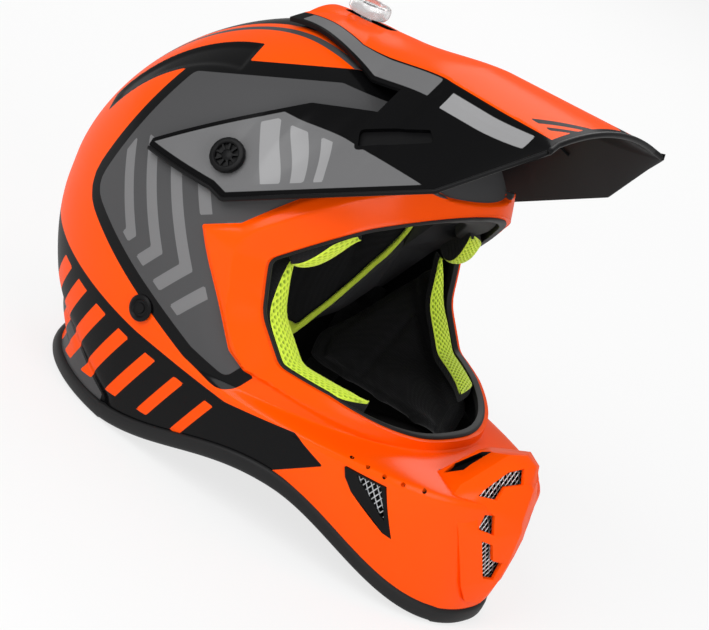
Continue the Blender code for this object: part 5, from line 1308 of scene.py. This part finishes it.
frame_outline, back_outline = inset_outline(VENT, VENT_GAP), inset_outline(VENT, VENT_BACK_GAP)
for name, side in SIDES:
    inside, proud = on_flank(side, WALL), on_flank(side, -VENT_PROUD)
    rings = [inside(frame_outline), proud(frame_outline), proud(VENT_WINDOW), inside(VENT_WINDOW)]
    vent_frame = joined("side_vent_frame_" + name, [loft(rings, closed=True)])
    dress(bevelled(vent_frame, VENT_BEVEL), abs_black, "shell", ["side_vent_" + name])
    # Painted shade: a dark plate behind the window.
    back = loft([on_flank(side, WALL + depth)(back_outline) for depth in (VENT_BACK_FROM, VENT_BACK_TO)])
    vent_shade_back = joined("side_vent_shade_back_" + name, [back])
    dress(vent_shade_back, abs_black, "shell", ["side_vent_" + name])
    strands = wires(inset_outline(VENT_WINDOW, -VENT_OVERLAP), on_flank(side, VENT_MESH_DEPTH))
    dress(joined("side_vent_wire_" + name, strands), steel_wire, "shell", ["side_mesh_" + name])
print("meshes wired with", MESH_PITCH, "mm pitch")

# %% [markdown]
# Rubber: the rim trim is an extruded U pushed over the shell's edge, bulging on the outside. It is a
# profile swept round a path that the shell's formula gives.

# %% Rim trim
TRIM_TOP, TRIM_OUT, TRIM_IN = 10.5, 2.7, -6.6
TRIM_TURNS, TRIM_SIDES, TRIM_SQUARE_IN, TRIM_SQUARE_UP, TRIM_SHARP = 480, 22, 0.7, 0.62, 60.0
trim_turns = np.linspace(0.0, TURN, TRIM_TURNS, endpoint=False)
rows = []
for angle in TURN * np.arange(TRIM_SIDES) / TRIM_SIDES:
    c, s = math.cos(angle), math.sin(angle)
    swell = -math.copysign(abs(c) ** TRIM_SQUARE_IN, c)
    inset = (TRIM_OUT - TRIM_IN) / 2.0 * swell - (TRIM_OUT + TRIM_IN) / 2.0
    rise = TRIM_TOP / 2.0 + TRIM_TOP / 2.0 * math.copysign(abs(s) ** TRIM_SQUARE_UP, s)
    rows.append(shell_point(trim_turns, rim_height(trim_turns, rise, inset), inset))
trim = joined("rim_trim_rubber", [loft(rows, closed=True)], TRIM_SHARP)
dress(trim, rubber_black, "shell", ["rim_trim"])
print("rim trim:", TRIM_TOP, "mm tall")

# %% [markdown]
# The eyeport edging is a second extrusion that sits just inside the opening. Its path is the eyeport's
# outline, laid on the middle of the wall and spaced evenly; the lime strips below use the same path.

# %% Eyeport edging
PORT_STEP, EDGING_STEP = 0.5, 2.0
PORT_MIDDLE = np.array((0.0, 118.0, 116.6))
LIFT = np.array((0.0, 0.0, 1.0))
EDGING = [(-0.6, 0.0), (-0.4, 0.8), (-0.8, 1.6), (-1.8, 2.0), (-4.6, 2.0), (-5.0, 1.2), (-5.0, -3.2),
          (-3.6, -3.4), (-3.4, 0.0)]
EDGING_SHARP = 50.0


def travel_along(path):
    """Length of a path up to each of its points."""
    return np.concatenate([[0.0], np.cumsum(np.linalg.norm(np.diff(path, axis=0), axis=1))])


def port_path(spacing):
    """Points on the eyeport's edge, mid wall, on the wearer's right from the lip's middle to the brow's."""
    mid = WALL / 2.0
    edge = np.array([a + (b - a) * t for a, b in zip(PORT, PORT[1:])
                     for t in np.arange(0.0, 1.0, PORT_STEP / max(float(np.linalg.norm(b - a)), PORT_STEP))])
    edge = edge[edge[:, 0] < section(edge[:, 1], mid)[1]]
    across = half_width(edge[:, 0], edge[:, 1], mid) * (1.0 - recess(edge[:, 0], edge[:, 1]) / HALF)
    path = np.column_stack([-across, edge])
    ends = [np.array((0.0, float(section(p[2], mid)[1]), p[2])) for p in (path[0], path[-1])]
    path = np.vstack([ends[0], path, ends[1]])
    run = travel_along(path)
    even = np.linspace(0.0, run[-1], int(run[-1] / spacing) + 1)
    return np.column_stack([np.interp(even, run, path[:, i]) for i in range(3)])


def port_frames(path, closed):
    """For each point of a path: the shell's outward direction and the way into the opening."""
    along = directions(path, closed)
    out = shell_normal(path + LIFT)
    into = unit(np.cross(along, out))
    into *= np.sign(((PORT_MIDDLE - path) * into).sum(1))[:, None]
    return unit(out - along * (out * along).sum(1)[:, None]), into


right = port_path(EDGING_STEP)
port_loop = np.vstack([right, on_side(right, -1.0)[-2:0:-1]])
out, into = port_frames(port_loop, True)
rings = [port_loop + out * n + into * b for n, b in EDGING]
edging = joined("eyeport_edging", [loft(rings, closed=True)], EDGING_SHARP)
dress(edging, rubber_black, "shell", ["eyeport_gasket"])
print("rubber edging:", round(float(travel_along(port_loop)[-1])), "mm round the eyeport")

# %% [markdown]
# Lime trims: strips of spacer mesh stitched along the front of the cheek pads and at the temples. The
# knit has rows of holes 3.6 mm apart, which are real dimples here, and the strip narrows to a point at
# its top. A plain black strip of the same form pads the brow.

# %% Form of a strip
STRIP_WIDTH, STRIP_DEPTH, STRIP_PROUD, STRIP_START, STRIP_GAP = 18.0, 6.0, 1.5, 5.3, 0.4
STRIP_TAPER, STRIP_DOME, DOME_SHARE, SAG_SHIFT = 0.9, 0.6, 0.35, 0.6
HOLE_STEP, HOLE_RADIUS, HOLE_DEPTH, CLOTH_STEP = 3.6, 1.15, 1.1, 0.6
ROW_STEP = HOLE_STEP * 0.62  # the rows lie closer together than the holes in a row
HOLE_FLAT, HOLE_SOFT, HEM_CLEAR, STRIP_SHARP = 1.35, 1.4, 4.0, 60.0


def knit_holes(across, travel, dome):
    """Depth of the knit's holes, 0 to 1, at places across and along a strip; none lie on its hems."""
    row = np.round(across / ROW_STEP)
    shift = (row % 2.0) * HOLE_STEP / 2.0
    along = (travel[:, None] - shift + HOLE_STEP / 2.0) % HOLE_STEP - HOLE_STEP / 2.0
    reach = np.hypot(along, (across - row * ROW_STEP) * HOLE_FLAT) / HOLE_RADIUS
    return ease(HOLE_SOFT - reach) * ease(HEM_CLEAR * dome)[None, :]


def strip(name, run, side, finish, node, taper=(8.0, 8.0), tip=0.25, hang=0.0, holes=True,
          inward=True):
    """A crowned strip of cloth along part of the eyeport, with dimples where the knit has holes."""
    out, into = port_frames(run, False)
    deep = np.tile((side * -1.0, 0.0, 0.0), (len(run), 1)) if inward else -out
    first = run + deep * (STRIP_START / -(out * deep).sum(1) + STRIP_GAP)[:, None]
    travel = travel_along(run)
    ends = np.minimum(travel / taper[0], (travel[-1] - travel) / taper[1])
    full = tip + (1.0 - tip) * np.sin(np.clip(ends, 0.0, 1.0) * math.pi / 2.0) ** STRIP_TAPER
    share = np.linspace(0.0, 1.0, int(STRIP_WIDTH / CLOTH_STEP) + 1)
    dome = np.sin(math.pi * share)
    across = STRIP_WIDTH * (1.0 - (1.0 - share[None, :]) * full[:, None])
    sag = hang * np.sin(np.clip(travel / travel[-1], 0.0, 1.0) ** SAG_SHIFT * math.pi)
    crown = STRIP_PROUD + sag[:, None] - STRIP_DEPTH * DOME_SHARE * (1.0 - dome ** STRIP_DOME)[None, :]
    hole = knit_holes(across, travel, dome) if holes else np.zeros_like(across)
    rise = crown - HOLE_DEPTH * hole
    top = first[:, None] + deep[:, None] * across[..., None] + into[:, None] * rise[..., None]
    hems = [first[:, None] + deep[:, None] * edge[..., None] - into[:, None] * STRIP_DEPTH
            for edge in (across[:, -1:], across[:, :1])]
    grid = np.concatenate([top, *hems], 1)
    wide = grid.shape[1]
    piece = joined(name, [loft(grid)], STRIP_SHARP)
    # The hole depth also drives the spacer mesh's painted shade.
    keep_marks(piece, {"hole": np.concatenate([hole, np.zeros((len(grid), 2))], 1).reshape(-1)})
    dress(piece, finish, "shell", [node])
    piece.data.materials.append(tricot_black)
    backing = [int(any(i % wide >= wide - 2 for i in face.vertices)) for face in piece.data.polygons]
    piece.data.polygons.foreach_set("material_index", backing)
    return piece


print("strips are", STRIP_WIDTH, "mm wide")

# %% [markdown]
# The strips share one path: from under the cheek to the eyeport's rear corner, on to the temple, and
# over the brow.

# %% Strips along the eyeport
CHEEK_FRONT, TEMPLE_FRONT, PORT_CORNER = 120.0, 80.0, np.array((56.5, 142.0))
path = port_path(CLOTH_STEP)
corner = int(np.argmin(np.linalg.norm(path[:, 1:] - PORT_CORNER, axis=1)))
start = int(np.flatnonzero(path[:, 1] < CHEEK_FRONT)[0])
temple = corner + int(np.flatnonzero(path[corner:, 1] > TEMPLE_FRONT)[0])
for name, side in SIDES:
    own = on_side(path, -side)
    strip("cheek_strip_" + name, own[start:corner], side, lime_mesh, "cheek_edge_" + name,
          taper=(9.0, 44.0), tip=0.1)
    strip("temple_strip_" + name, own[corner + 2:temple], side, lime_mesh,
          "temple_pad_" + name, taper=(7.0, 9.0), hang=7.0)
brow = np.vstack([path[temple + 3:], on_side(path, -1.0)[-2:temple + 2:-1]])
strip("brow_strip", brow, 1.0, tricot_black, "brow_pad", taper=(14.0, 14.0), tip=0.4,
      holes=False, inward=False)
print("strips:", round((corner - start) * CLOTH_STEP), "mm long beside each cheek")

# %% [markdown]
# The pads are foam cut to shape and covered in tricot, so their cloth bellies between the seams. Each
# solid is remeshed evenly, shrunk a little and blown up by a short cloth simulation, and its movement is
# capped so that it stays clear of its neighbours. Sewn lines are then drawn in.

# %% Stuffed pads
PRESSURE, SIM_FRAMES, VOXEL, SHRINK, SWELL_CAP = 4.0, 20, 4.5, 1.6, 2.4


def stuffed(name, node):
    """A soft copy of a pad's solid, swollen by pressure."""
    piece = bpy.data.objects.new(name, frame["nodes"][node].data.copy())
    bpy.context.collection.objects.link(piece)
    even = piece.modifiers.new("even", "REMESH")
    even.mode = "VOXEL"
    even.voxel_size = VOXEL * MM
    apply_modifiers(piece)
    rest = read_rows(piece.data.vertices, "co") - read_rows(piece.data.vertices, "normal") * SHRINK * MM
    piece.data.vertices.foreach_set("co", rest.ravel())
    cloth = piece.modifiers.new("cloth", "CLOTH")
    cloth.settings.use_pressure = True
    cloth.settings.uniform_pressure_force = PRESSURE
    cloth.settings.effector_weights.gravity = 0.0
    cloth.point_cache.frame_end = SIM_FRAMES
    for number in range(1, SIM_FRAMES + 1):
        bpy.context.scene.frame_set(number)
    ready = piece.evaluated_get(bpy.context.evaluated_depsgraph_get())
    move = read_rows(ready.data.vertices, "co") - rest
    far = np.linalg.norm(move, axis=1)[:, None]
    rest = rest + move * np.minimum(1.0, SWELL_CAP * MM / np.maximum(far, TINY))
    piece.modifiers.clear()
    bpy.context.scene.frame_set(1)
    piece.data.vertices.foreach_set("co", rest.ravel())
    piece.modifiers.new("round", "SUBSURF").levels = 1
    apply_modifiers(piece)
    piece.data.shade_smooth()
    return piece


def sew(piece, lines, depth, width, axes):
    """Draw sewn channels into a pad along lines seen from the side or from behind."""
    points, normal = own_points(piece), read_rows(piece.data.vertices, "normal")
    near = np.min([distance(points[:, axes], np.array(line), closed=False) for line in lines], axis=0)
    pull = depth * np.exp(-(near / width) ** 2)
    moved = to_row(points) - normal * pull[:, None] * MM
    piece.data.vertices.foreach_set("co", moved.ravel())
    piece.data.update()


SIDE_AXES, REAR_AXES = [1, 2], [0, 2]
CHEEK_SEAMS = [[(6.0, 62.0), (40.0, 116.0), (74.0, 84.0), (108.0, 68.0), (106.0, 54.0), (8.0, 46.0),
                (6.0, 62.0)], [(40.0, 48.0), (52.0, 102.0)]]
CHEEK_SEAM_DEPTH, CHEEK_SEAM_WIDTH = 1.6, 2.4
ROLL_SEAMS = [[(x, 0.0), (x, 60.0)] for x in (-52.0, -26.0, 0.0, 26.0, 52.0)]
ROLL_SEAM_DEPTH, ROLL_SEAM_WIDTH = 1.4, 2.2
for name, _ in SIDES:
    pad = stuffed("cheek_pad_cloth_" + name, "cheek_pad_" + name)
    sew(pad, CHEEK_SEAMS, CHEEK_SEAM_DEPTH, CHEEK_SEAM_WIDTH, SIDE_AXES)
    dress(pad, tricot_black, "shell", ["cheek_pad_" + name])
roll = stuffed("neck_roll_cloth", "neck_roll")
sew(roll, ROLL_SEAMS, ROLL_SEAM_DEPTH, ROLL_SEAM_WIDTH, REAR_AXES)
dress(roll, tricot_black, "shell", ["neck_roll"])
print("stuffed", len(pad.data.polygons), "faces in a cheek pad")
print("stuffed", len(roll.data.polygons), "faces in the neck roll")

# %% [markdown]
# The crown liner is a quilted bowl: tufts of foam between sewn channels, thin at its lower edge. It
# follows the lower edge of the impact foam, which climbs from the nape to the brow.

# %% Crown liner
LINER_START, LINER_WALL, LINER_SEAM, LINER_RISE, LINER_TURNS = 33.8, 9.0, 4.0, 7.0, 240
FOAM_PORT, FOAM_PORT_RISE, FOAM_MARGIN = (58.0, 143.0), 0.975, 12.6
FOAM_SIDE, FOAM_SIDE_RISE, FOAM_LOW, FOAM_INSET, FOAM_STEP = (44.0, 149.0), 1.6, 50.0, 5.2, 0.6
GORES, TUFT_RINGS, GORE_POWER, TUFT_POWER, TUFT_SHIFT = 6.0, 4.0, 0.45, 0.4, 1.1
BOWL_POWER, EDGE_THIN, EDGE_FROM, SEAMS_FROM = 1.6, 0.6, 0.8, 3.0
BOWL_TOP, LINER_ROWS, LINER_BACK_ROWS, LINER_LIP, LINER_DROP = 0.03, 64, 14, 1.6, 1.0
CROWN_GAP, LINER_SHARP = 0.5, 70.0


def foam_edge(f):
    """Height of the impact foam's lower edge."""
    over_port = FOAM_PORT[1] + (f - FOAM_PORT[0]) * FOAM_PORT_RISE + FOAM_MARGIN
    behind = np.maximum(FOAM_SIDE[1] + (f - FOAM_SIDE[0]) * FOAM_SIDE_RISE, FOAM_LOW)
    return np.where(f > FOAM_PORT[0], over_port, behind)


liner_turns = np.arange(LINER_TURNS) * TURN / LINER_TURNS
edge = np.full(LINER_TURNS, WIDEST)
for _ in range(SETTLE):
    edge = edge + FOAM_STEP * (foam_edge(shell_point(liner_turns, edge, FOAM_INSET)[:, 1]) - edge)
edge = edge + LINER_RISE


def liner_ring(share, inset):
    """One ring of the bowl, a share of the way from its top to its edge."""
    rise = RISE - LINER_START
    drop = 1.0 - (edge - WIDEST) / rise
    height = WIDEST + rise * (1.0 - drop * share ** BOWL_POWER)
    return shell_point(liner_turns, np.minimum(height, WIDEST + RISE - np.max(inset) - CROWN_GAP), inset)


def quilt(share):
    """Thickness of the liner: tufts in rings and gores, drawn thin at the edge."""
    gore = np.abs(np.sin(GORES * liner_turns)) ** GORE_POWER
    tuft = np.abs(np.sin(TUFT_RINGS * math.pi * share ** TUFT_SHIFT)) ** TUFT_POWER
    drawn = 1.0 - EDGE_THIN * ease((share - EDGE_FROM) / (1.0 - EDGE_FROM))
    seam = LINER_SEAM * (1.0 - np.minimum(gore, tuft)) * ease(np.array(share * SEAMS_FROM))
    return (LINER_WALL - seam) * drawn


rows = [liner_ring(s, LINER_START + quilt(s)) for s in np.linspace(BOWL_TOP, 1.0, LINER_ROWS)]
rows.append(liner_ring(1.0, LINER_START + LINER_LIP) - LIFT * LINER_DROP)
rows += [liner_ring(s, np.full(LINER_TURNS, LINER_START))
         for s in np.linspace(1.0, BOWL_TOP, LINER_BACK_ROWS)]
liner = joined("crown_liner_cloth", [loft(rows)], LINER_SHARP)
dress(liner, tricot_black, "shell", ["crown_pad"])
print("crown liner:", len(liner.data.polygons), "faces")

# %% [markdown]
# A lime binding tape hems the liner. It is an oval swept round the liner's edge, with a slight ripple
# where each stitch pulls it in.

# %% Hem of the liner
HEM_REACH, HEM_TALL, HEM_DEEP, HEM_GAP, HEM_SIDES = 2.2, 4.2, 1.9, 0.4, 12
STITCH_PULL, STITCH_TURNS, HEM_SHARP = 0.05, 4.0, 80.0
middle = shell_point(liner_turns, edge - HEM_REACH - HEM_GAP, LINER_START + HEM_REACH)
angle = np.arange(HEM_SIDES) * TURN / HEM_SIDES
outwards = np.stack([np.sin(liner_turns), np.cos(liner_turns), np.zeros(LINER_TURNS)], 1)
stitch = 1.0 + STITCH_PULL * np.cos(liner_turns * LINER_TURNS / STITCH_TURNS)
oval = (outwards[:, None] * np.cos(angle)[None, :, None] * HEM_DEEP
        + LIFT * np.sin(angle)[None, :, None] * HEM_TALL)
hem_rings = middle[:, None] + oval * stitch[:, None, None]
hem = joined("liner_hem_tape", [loft(hem_rings, closed=True)], HEM_SHARP)
dress(hem, lime_mesh, "shell", ["liner_hem"])
print("hem:", round(float(travel_along(middle)[-1])), "mm long")

# %% [markdown]
# The chin strap: woven webbing riveted to the shell on each side. It hangs inside the shell and turns
# under the jaw. Cloth simulation would crumple so narrow a band, so it is swept along its route, with
# the ribs of the weave in its section. The left end carries the rings, and the right end is the tail
# that threads through them.

# %% Chin strap
RIVET_F, RIVET_H = 3.0, 84.0
STRAP_WIDTH, STRAP_WALL, STRAP_STAND, STRAP_LOW, STRAP_BEND = 24.0, 2.0, 2.0, 20.0, 34.0
SHORT_END, LONG_END = 52.0, -20.0
HANG_STEPS, BEND_STEPS, RUN_STEPS, STRAP_COLUMNS = 12, 19, 20, 41
RIB_STEP, RIB_DEPTH, SELVEDGE_POWER, STRAP_SHARP = 3.0, 0.14, 12, 60.0


def strap_route(end):
    """Middle line of the strap seen from the front, as (across, height)."""
    offset = WALL + STRAP_STAND + STRAP_WALL / 2.0
    heights = np.linspace(RIVET_H + STRAP_WIDTH / 2.0, STRAP_LOW + STRAP_BEND, HANG_STEPS)
    route = [np.array((float(half_width(RIVET_F, h, offset)), h)) for h in heights]
    centre = route[-1] - np.array((STRAP_BEND, 0.0))
    for angle in np.radians(np.linspace(0.0, 90.0, BEND_STEPS))[1:]:
        p = centre + np.array((math.cos(angle), -math.sin(angle))) * STRAP_BEND
        route.append(np.array((min(p[0], float(half_width(RIVET_F, p[1], offset))), p[1])))
    turned, stop = route[-1], np.array((end, STRAP_LOW))
    return np.array(route + [turned + (stop - turned) * t for t in np.linspace(0.0, 1.0, RUN_STEPS)[1:]])


def strap_piece(name, side, end, node):
    """One side of the strap, swept along its route."""
    route = strap_route(end)
    along = unit(np.gradient(route, axis=0))
    away = np.column_stack([along[:, 1], -along[:, 0]])
    across = np.linspace(-0.5, 0.5, STRAP_COLUMNS) * STRAP_WIDTH
    selvedge = np.sqrt(np.clip(1.0 - (np.abs(across) / (STRAP_WIDTH / 2.0)) ** SELVEDGE_POWER, 0.0, 1.0))
    ribs = 1.0 - RIB_DEPTH + RIB_DEPTH * np.cos(across * TURN / RIB_STEP)
    thick = STRAP_WALL / 2.0 * selvedge * ribs
    faces_of_strap = []
    for face, order in ((1.0, slice(None)), (-1.0, slice(None, None, -1))):
        deep = face * thick[order][None, :]
        x = side * (route[:, :1] + away[:, :1] * deep)
        f = np.tile(RIVET_F + across[order], (len(route), 1))
        faces_of_strap.append(np.stack([x, f, route[:, 1:] + away[:, 1:] * deep], -1))
    made = joined(name, [loft(np.concatenate(faces_of_strap, 1))], STRAP_SHARP)
    return dress(made, webbing_black, "shell", [node])


strap_piece("strap_webbing_right", -1.0, LONG_END, "chin_strap_right")
strap_piece("strap_webbing_left", 1.0, SHORT_END, "chin_strap_left")
print("strap:", STRAP_WIDTH, "mm wide")

# %% [markdown]
# Two D-rings of chromed wire hang in a sewn loop of the same webbing. Each ring is a tube along a
# D-shaped path and the loop is a flat band round both straight bars.

# %% Rings and their loop
RING_WIRE, RING_HALF, RING_REACH, RING_STEP, RING_SIDES = 2.0, 14.0, 20.0, 5.2, 14
RING_CORNER, RING_PLAY, BOW_STEPS, BOW_ANGLE, BOW_FLAT = 4.0, 0.4, 25, 80.0, 0.45
LOOP_CORNERS = ((-1, -1), (1, -1), (1, 1), (-1, 1))
LOOP_OUT_RADIUS, LOOP_IN_RADIUS, LOOP_SHARP = 3.0, 1.4, 50.0
RING_CORNER_STEPS, LOOP_CORNER_STEPS = 6, 8
ring_bar = SHORT_END - RING_WIRE - RING_PLAY - STRAP_WALL - RING_PLAY
bow = [(-RING_REACH * (BOW_FLAT + (1.0 - BOW_FLAT) * math.cos(a)), RING_HALF * math.sin(a), 0.0)
       for a in np.radians(np.linspace(BOW_ANGLE, -BOW_ANGLE, BOW_STEPS))]
bar = [(0.0, -RING_HALF, RING_CORNER), (0.0, RING_HALF, RING_CORNER)]
ring_outline = round_outline(bar + bow, RING_CORNER_STEPS)
for name, level in (("upper", 0.5), ("lower", -0.5)):
    height = np.full(len(ring_outline), STRAP_LOW + level * RING_STEP)
    ring_path = np.column_stack([ring_bar + ring_outline[:, 0], RIVET_F + ring_outline[:, 1], height])
    ring = joined("d_ring_wire_" + name, [tube(ring_path, RING_WIRE, RING_SIDES, closed=True)])
    dress(ring, chromed_wire, "ring_" + name, ["d_ring_" + name])

room, tall = RING_WIRE + RING_PLAY, RING_STEP / 2.0 + RING_WIRE + RING_PLAY
loop_half = RING_HALF - 2.0 * RING_WIRE


def loop_outline(more, radius):
    """The section of the webbing loop, grown by a distance from its inside."""
    corners = [(sx * (room + more), sz * (tall + more), radius) for sx, sz in LOOP_CORNERS]
    return round_outline(corners, LOOP_CORNER_STEPS)


outside, inside = loop_outline(STRAP_WALL, LOOP_OUT_RADIUS), loop_outline(0.0, LOOP_IN_RADIUS)
rings = [np.column_stack([ring_bar + flat[:, 0], np.full(len(flat), RIVET_F + end * loop_half),
                          STRAP_LOW + flat[:, 1]])
         for flat, end in ((outside, -1.0), (outside, 1.0), (inside, 1.0), (inside, -1.0))]
webbing_loop = joined("ring_loop_webbing", [loft(rings, closed=True)], LOOP_SHARP)
dress(webbing_loop, webbing_black, "shell", ["ring_loop"])
print("rings and loop made")

# %% [markdown]
# The fasteners: moulded plastic screws that clamp the peak's arms, rivets for the strap and the clear
# knob on the crown. All are turned shapes with ribs or lobes, so a lathe and a few prisms make them.
# Profiles are (radius, height above the seat).

# %% Screws, rivets and knob
SCREW = [(3.5, -12.0), (3.5, 1.7), (9.7, 1.7), (10.0, 2.2), (10.0, 4.4), (9.5, 5.3), (8.6, 5.7), (7.4, 5.7),
         (6.7, 5.2), (6.4, 3.0), (3.6, 2.8), (3.2, 3.9), (2.6, 4.3), (0.05, 4.3)]
RIVET = [(4.4, -8.5), (3.0, -8.0), (3.0, 0.6), (7.3, 0.6), (7.5, 0.9), (7.5, 1.5), (6.9, 2.1), (5.8, 2.4),
         (5.0, 1.9), (4.6, 1.2), (3.0, 1.1), (2.7, 1.7), (0.05, 1.8)]
KNOB = [(3.5, -14.0), (3.5, 0.0), (10.6, 0.0), (11.6, 1.2), (12.0, 2.6), (12.0, 5.6), (11.4, 7.2),
        (10.2, 8.0), (8.0, 8.0), (6.8, 7.0), (6.2, 6.2), (0.05, 6.0)]
GRIPS, GRIP_DEPTH, GRIP_SHARE, GRIP_FROM, GRIP_TO = 15.0, 0.025, 0.2, 2.0, 4.6
SPOKES, SPOKE_IN, SPOKE_OUT, SPOKE_LOW, SPOKE_HIGH, SPOKE_WIDE = 9, 3.0, 6.8, 2.6, 4.5, 1.1
LOBES, LOBE_DEPTH, LOBE_FROM, KNOB_LIFT = 6.0, 0.035, 0.5, 2.0
SCREW_SIDES, RIVET_SIDES, KNOB_SIDES, TURNED_SHARP = 60, 48, 72, 35.0


def grip(angle, along):
    """Notches round a screw's head."""
    return 1.0 - GRIP_DEPTH * (math.cos(GRIPS * angle) > GRIP_SHARE) * (GRIP_FROM < along < GRIP_TO)


def lobed(angle, along):
    """Soft lobes round the knob's head."""
    return 1.0 + LOBE_DEPTH * math.cos(LOBES * angle) if along > LOBE_FROM else 1.0


def spokes(centre, axis):
    """Small radial ribs that stand in a screw's recess."""
    axis, across, other = turning_axes(axis)
    corners = ((SPOKE_IN, -1.0), (SPOKE_OUT, -1.0), (SPOKE_OUT, 1.0), (SPOKE_IN, 1.0))
    parts = []
    for a in TURN * np.arange(SPOKES) / SPOKES:
        out = across * math.cos(a) + other * math.sin(a)
        along = -across * math.sin(a) + other * math.cos(a)
        parts.append(loft([[np.array(centre) + out * r + along * s * SPOKE_WIDE / 2.0 + axis * level
                            for r, s in corners] for level in (SPOKE_LOW, SPOKE_HIGH)]))
    return parts


screw_spot = np.array((float(arm_face(PIVOT[1], PIVOT[2])), PIVOT[1], PIVOT[2]))
screw_axis = shell_normal(np.array([(float(half_width(PIVOT[1], PIVOT[2])), PIVOT[1], PIVOT[2])]))[0]
rivet_face = float(half_width(RIVET_F, RIVET_H))
for name, side in SIDES:
    spot, axis = on_side(screw_spot, side), on_side(screw_axis, side)
    screw = joined("pivot_screw_" + name, [lathe(spot, axis, SCREW, SCREW_SIDES, grip), *spokes(spot, axis)],
                   TURNED_SHARP)
    dress(screw, abs_black, "screw_" + name, ["peak_screw_" + name])
    cap = lathe((side * rivet_face, RIVET_F, RIVET_H), (side, 0.0, 0.0), RIVET, RIVET_SIDES)
    rivet = joined("strap_rivet_cap_" + name, [cap], TURNED_SHARP)
    dress(rivet, abs_black, "shell", ["strap_rivet_" + name])
knob_top = WIDEST + RISE + CREST_CLEAR + PEAK_WALL + KNOB_LIFT
knob = lathe((0.0, KNOB_AT, knob_top), (0.0, 0.0, 1.0), KNOB, KNOB_SIDES, lobed)
dress(joined("clear_knob", [knob], TURNED_SHARP), clear_pc, "knob", ["peak_knob"])
print("screws, rivets and knob made")

# %% [markdown]
# Inside, the impact foam and the chin foam are dark moulded beads and the inserts are plain steel. They
# keep the shape of their solids, because nothing else of them shows.

# %% Inner solids
for name in ("eps_liner", "chin_foam"):
    dress(frame["nodes"][name], foam_grey)
for name in ("peak_insert_right", "peak_insert_left", "peak_insert_centre"):
    dress(frame["nodes"][name], steel_wire)
print("pieces dressed:", len(pieces_made))

# %% [markdown]
# The camera stands where the photograph's did: its place and directions were solved from the outline and
# are given in the helmet's own frame. The lens is a hair wider than solved, so that the knob stays in
# the picture.

# %% Camera
CAMERA_RIGHT = Vector((0.53620684, -0.75065139, 0.38601129))
CAMERA_UP = Vector((0.02765748, 0.47269147, 0.88079387))
CAMERA_BACK = Vector((-0.84363338, -0.4616116, 0.27422152))
CAMERA_AWAY, CAMERA_PAN, CAMERA_TILT = 1545.9, -40.64, 43.3
FOCAL_PIXELS, IMAGE_WIDTH, SENSOR = 2662.0, 709.0, 36.0
aim = Vector((0.0, 0.0, WIDEST))
eye = aim - CAMERA_RIGHT * CAMERA_PAN - CAMERA_UP * CAMERA_TILT + CAMERA_BACK * CAMERA_AWAY
lens = bpy.data.cameras.new("portrait")
lens.sensor_width = SENSOR
lens.lens = FOCAL_PIXELS * SENSOR / IMAGE_WIDTH
camera = bpy.data.objects.new("portrait", lens)
bpy.context.collection.objects.link(camera)
axes = Matrix((CAMERA_RIGHT, CAMERA_UP, CAMERA_BACK)).transposed()
camera.matrix_world = Matrix.Translation(LEAN @ eye * MM + SHIFT) @ (LEAN @ axes).to_4x4()
bpy.context.scene.camera = camera
print("lens", round(lens.lens, 1), "mm")

# %% [markdown]
# A white studio: a pale floor, one broad soft lamp above the near side, a weaker one from the front and
# one behind, and an even sky. The floor answers camera rays with white so that the page stays clean but
# keeps the shadow.

# %% Studio
LAMP_AIM = Vector((0.0, 0.0, 0.12))
SKY, FLOOR_GLOW, FLOOR_REACH = 0.48, 0.75, 12.0


def area_lamp(name, place, size, power):
    """A round soft lamp that faces the helmet."""
    lamp = bpy.data.lights.new(name, "AREA")
    lamp.shape = "DISK"
    lamp.size = size
    lamp.energy = power
    made = bpy.data.objects.new(name, lamp)
    bpy.context.collection.objects.link(made)
    made.location = place
    made.rotation_euler = (LAMP_AIM - Vector(place)).to_track_quat("-Z", "Y").to_euler()


area_lamp("key", (-1.7, 0.3, 1.5), 1.6, 30.0)
area_lamp("front", (-0.9, -2.0, 1.0), 1.4, 18.0)
area_lamp("rim", (1.6, 0.9, 1.4), 1.2, 12.0)
world = bpy.data.worlds.new("studio")
bpy.context.scene.world = world
world.use_nodes = True
plug(world.node_tree, world.node_tree.nodes["Background"], {"Color": WHITE, "Strength": SKY})

floor_finish, tree, shader = new_finish("pale floor", Base_Color=linear("#F2F2F2"), Roughness=0.9)
rays = add(tree, "LightPath").outputs
seen = add(tree, "Math", {0: rays["Is Camera Ray"], 1: rays["Is Glossy Ray"]}, operation="MAXIMUM")
seen = add(tree, "Math", {0: seen.outputs[0], 1: rays["Is Transmission Ray"]}, operation="MAXIMUM")
share = add(tree, "Math", {0: seen.outputs[0], 1: FLOOR_GLOW}, operation="MULTIPLY")
glow = add(tree, "Emission", {"Color": WHITE, "Strength": 1.0})
blend = add(tree, "MixShader", {0: share.outputs[0], 1: shader.outputs[0], 2: glow.outputs[0]})
plug(tree, tree.nodes["Material Output"], {"Surface": blend.outputs[0]})
floor_mesh = bpy.data.meshes.new("floor")
floor_corners = [(x * FLOOR_REACH, y * FLOOR_REACH, 0.0) for x, y in LOOP_CORNERS]
floor_mesh.from_pydata(floor_corners, [], [(0, 1, 2, 3)])
floor_mesh.materials.append(floor_finish)
floor = bpy.data.objects.new("floor", floor_mesh)
bpy.context.collection.objects.link(floor)
bpy.context.scene.view_settings.view_transform = "Standard"
print("studio set")
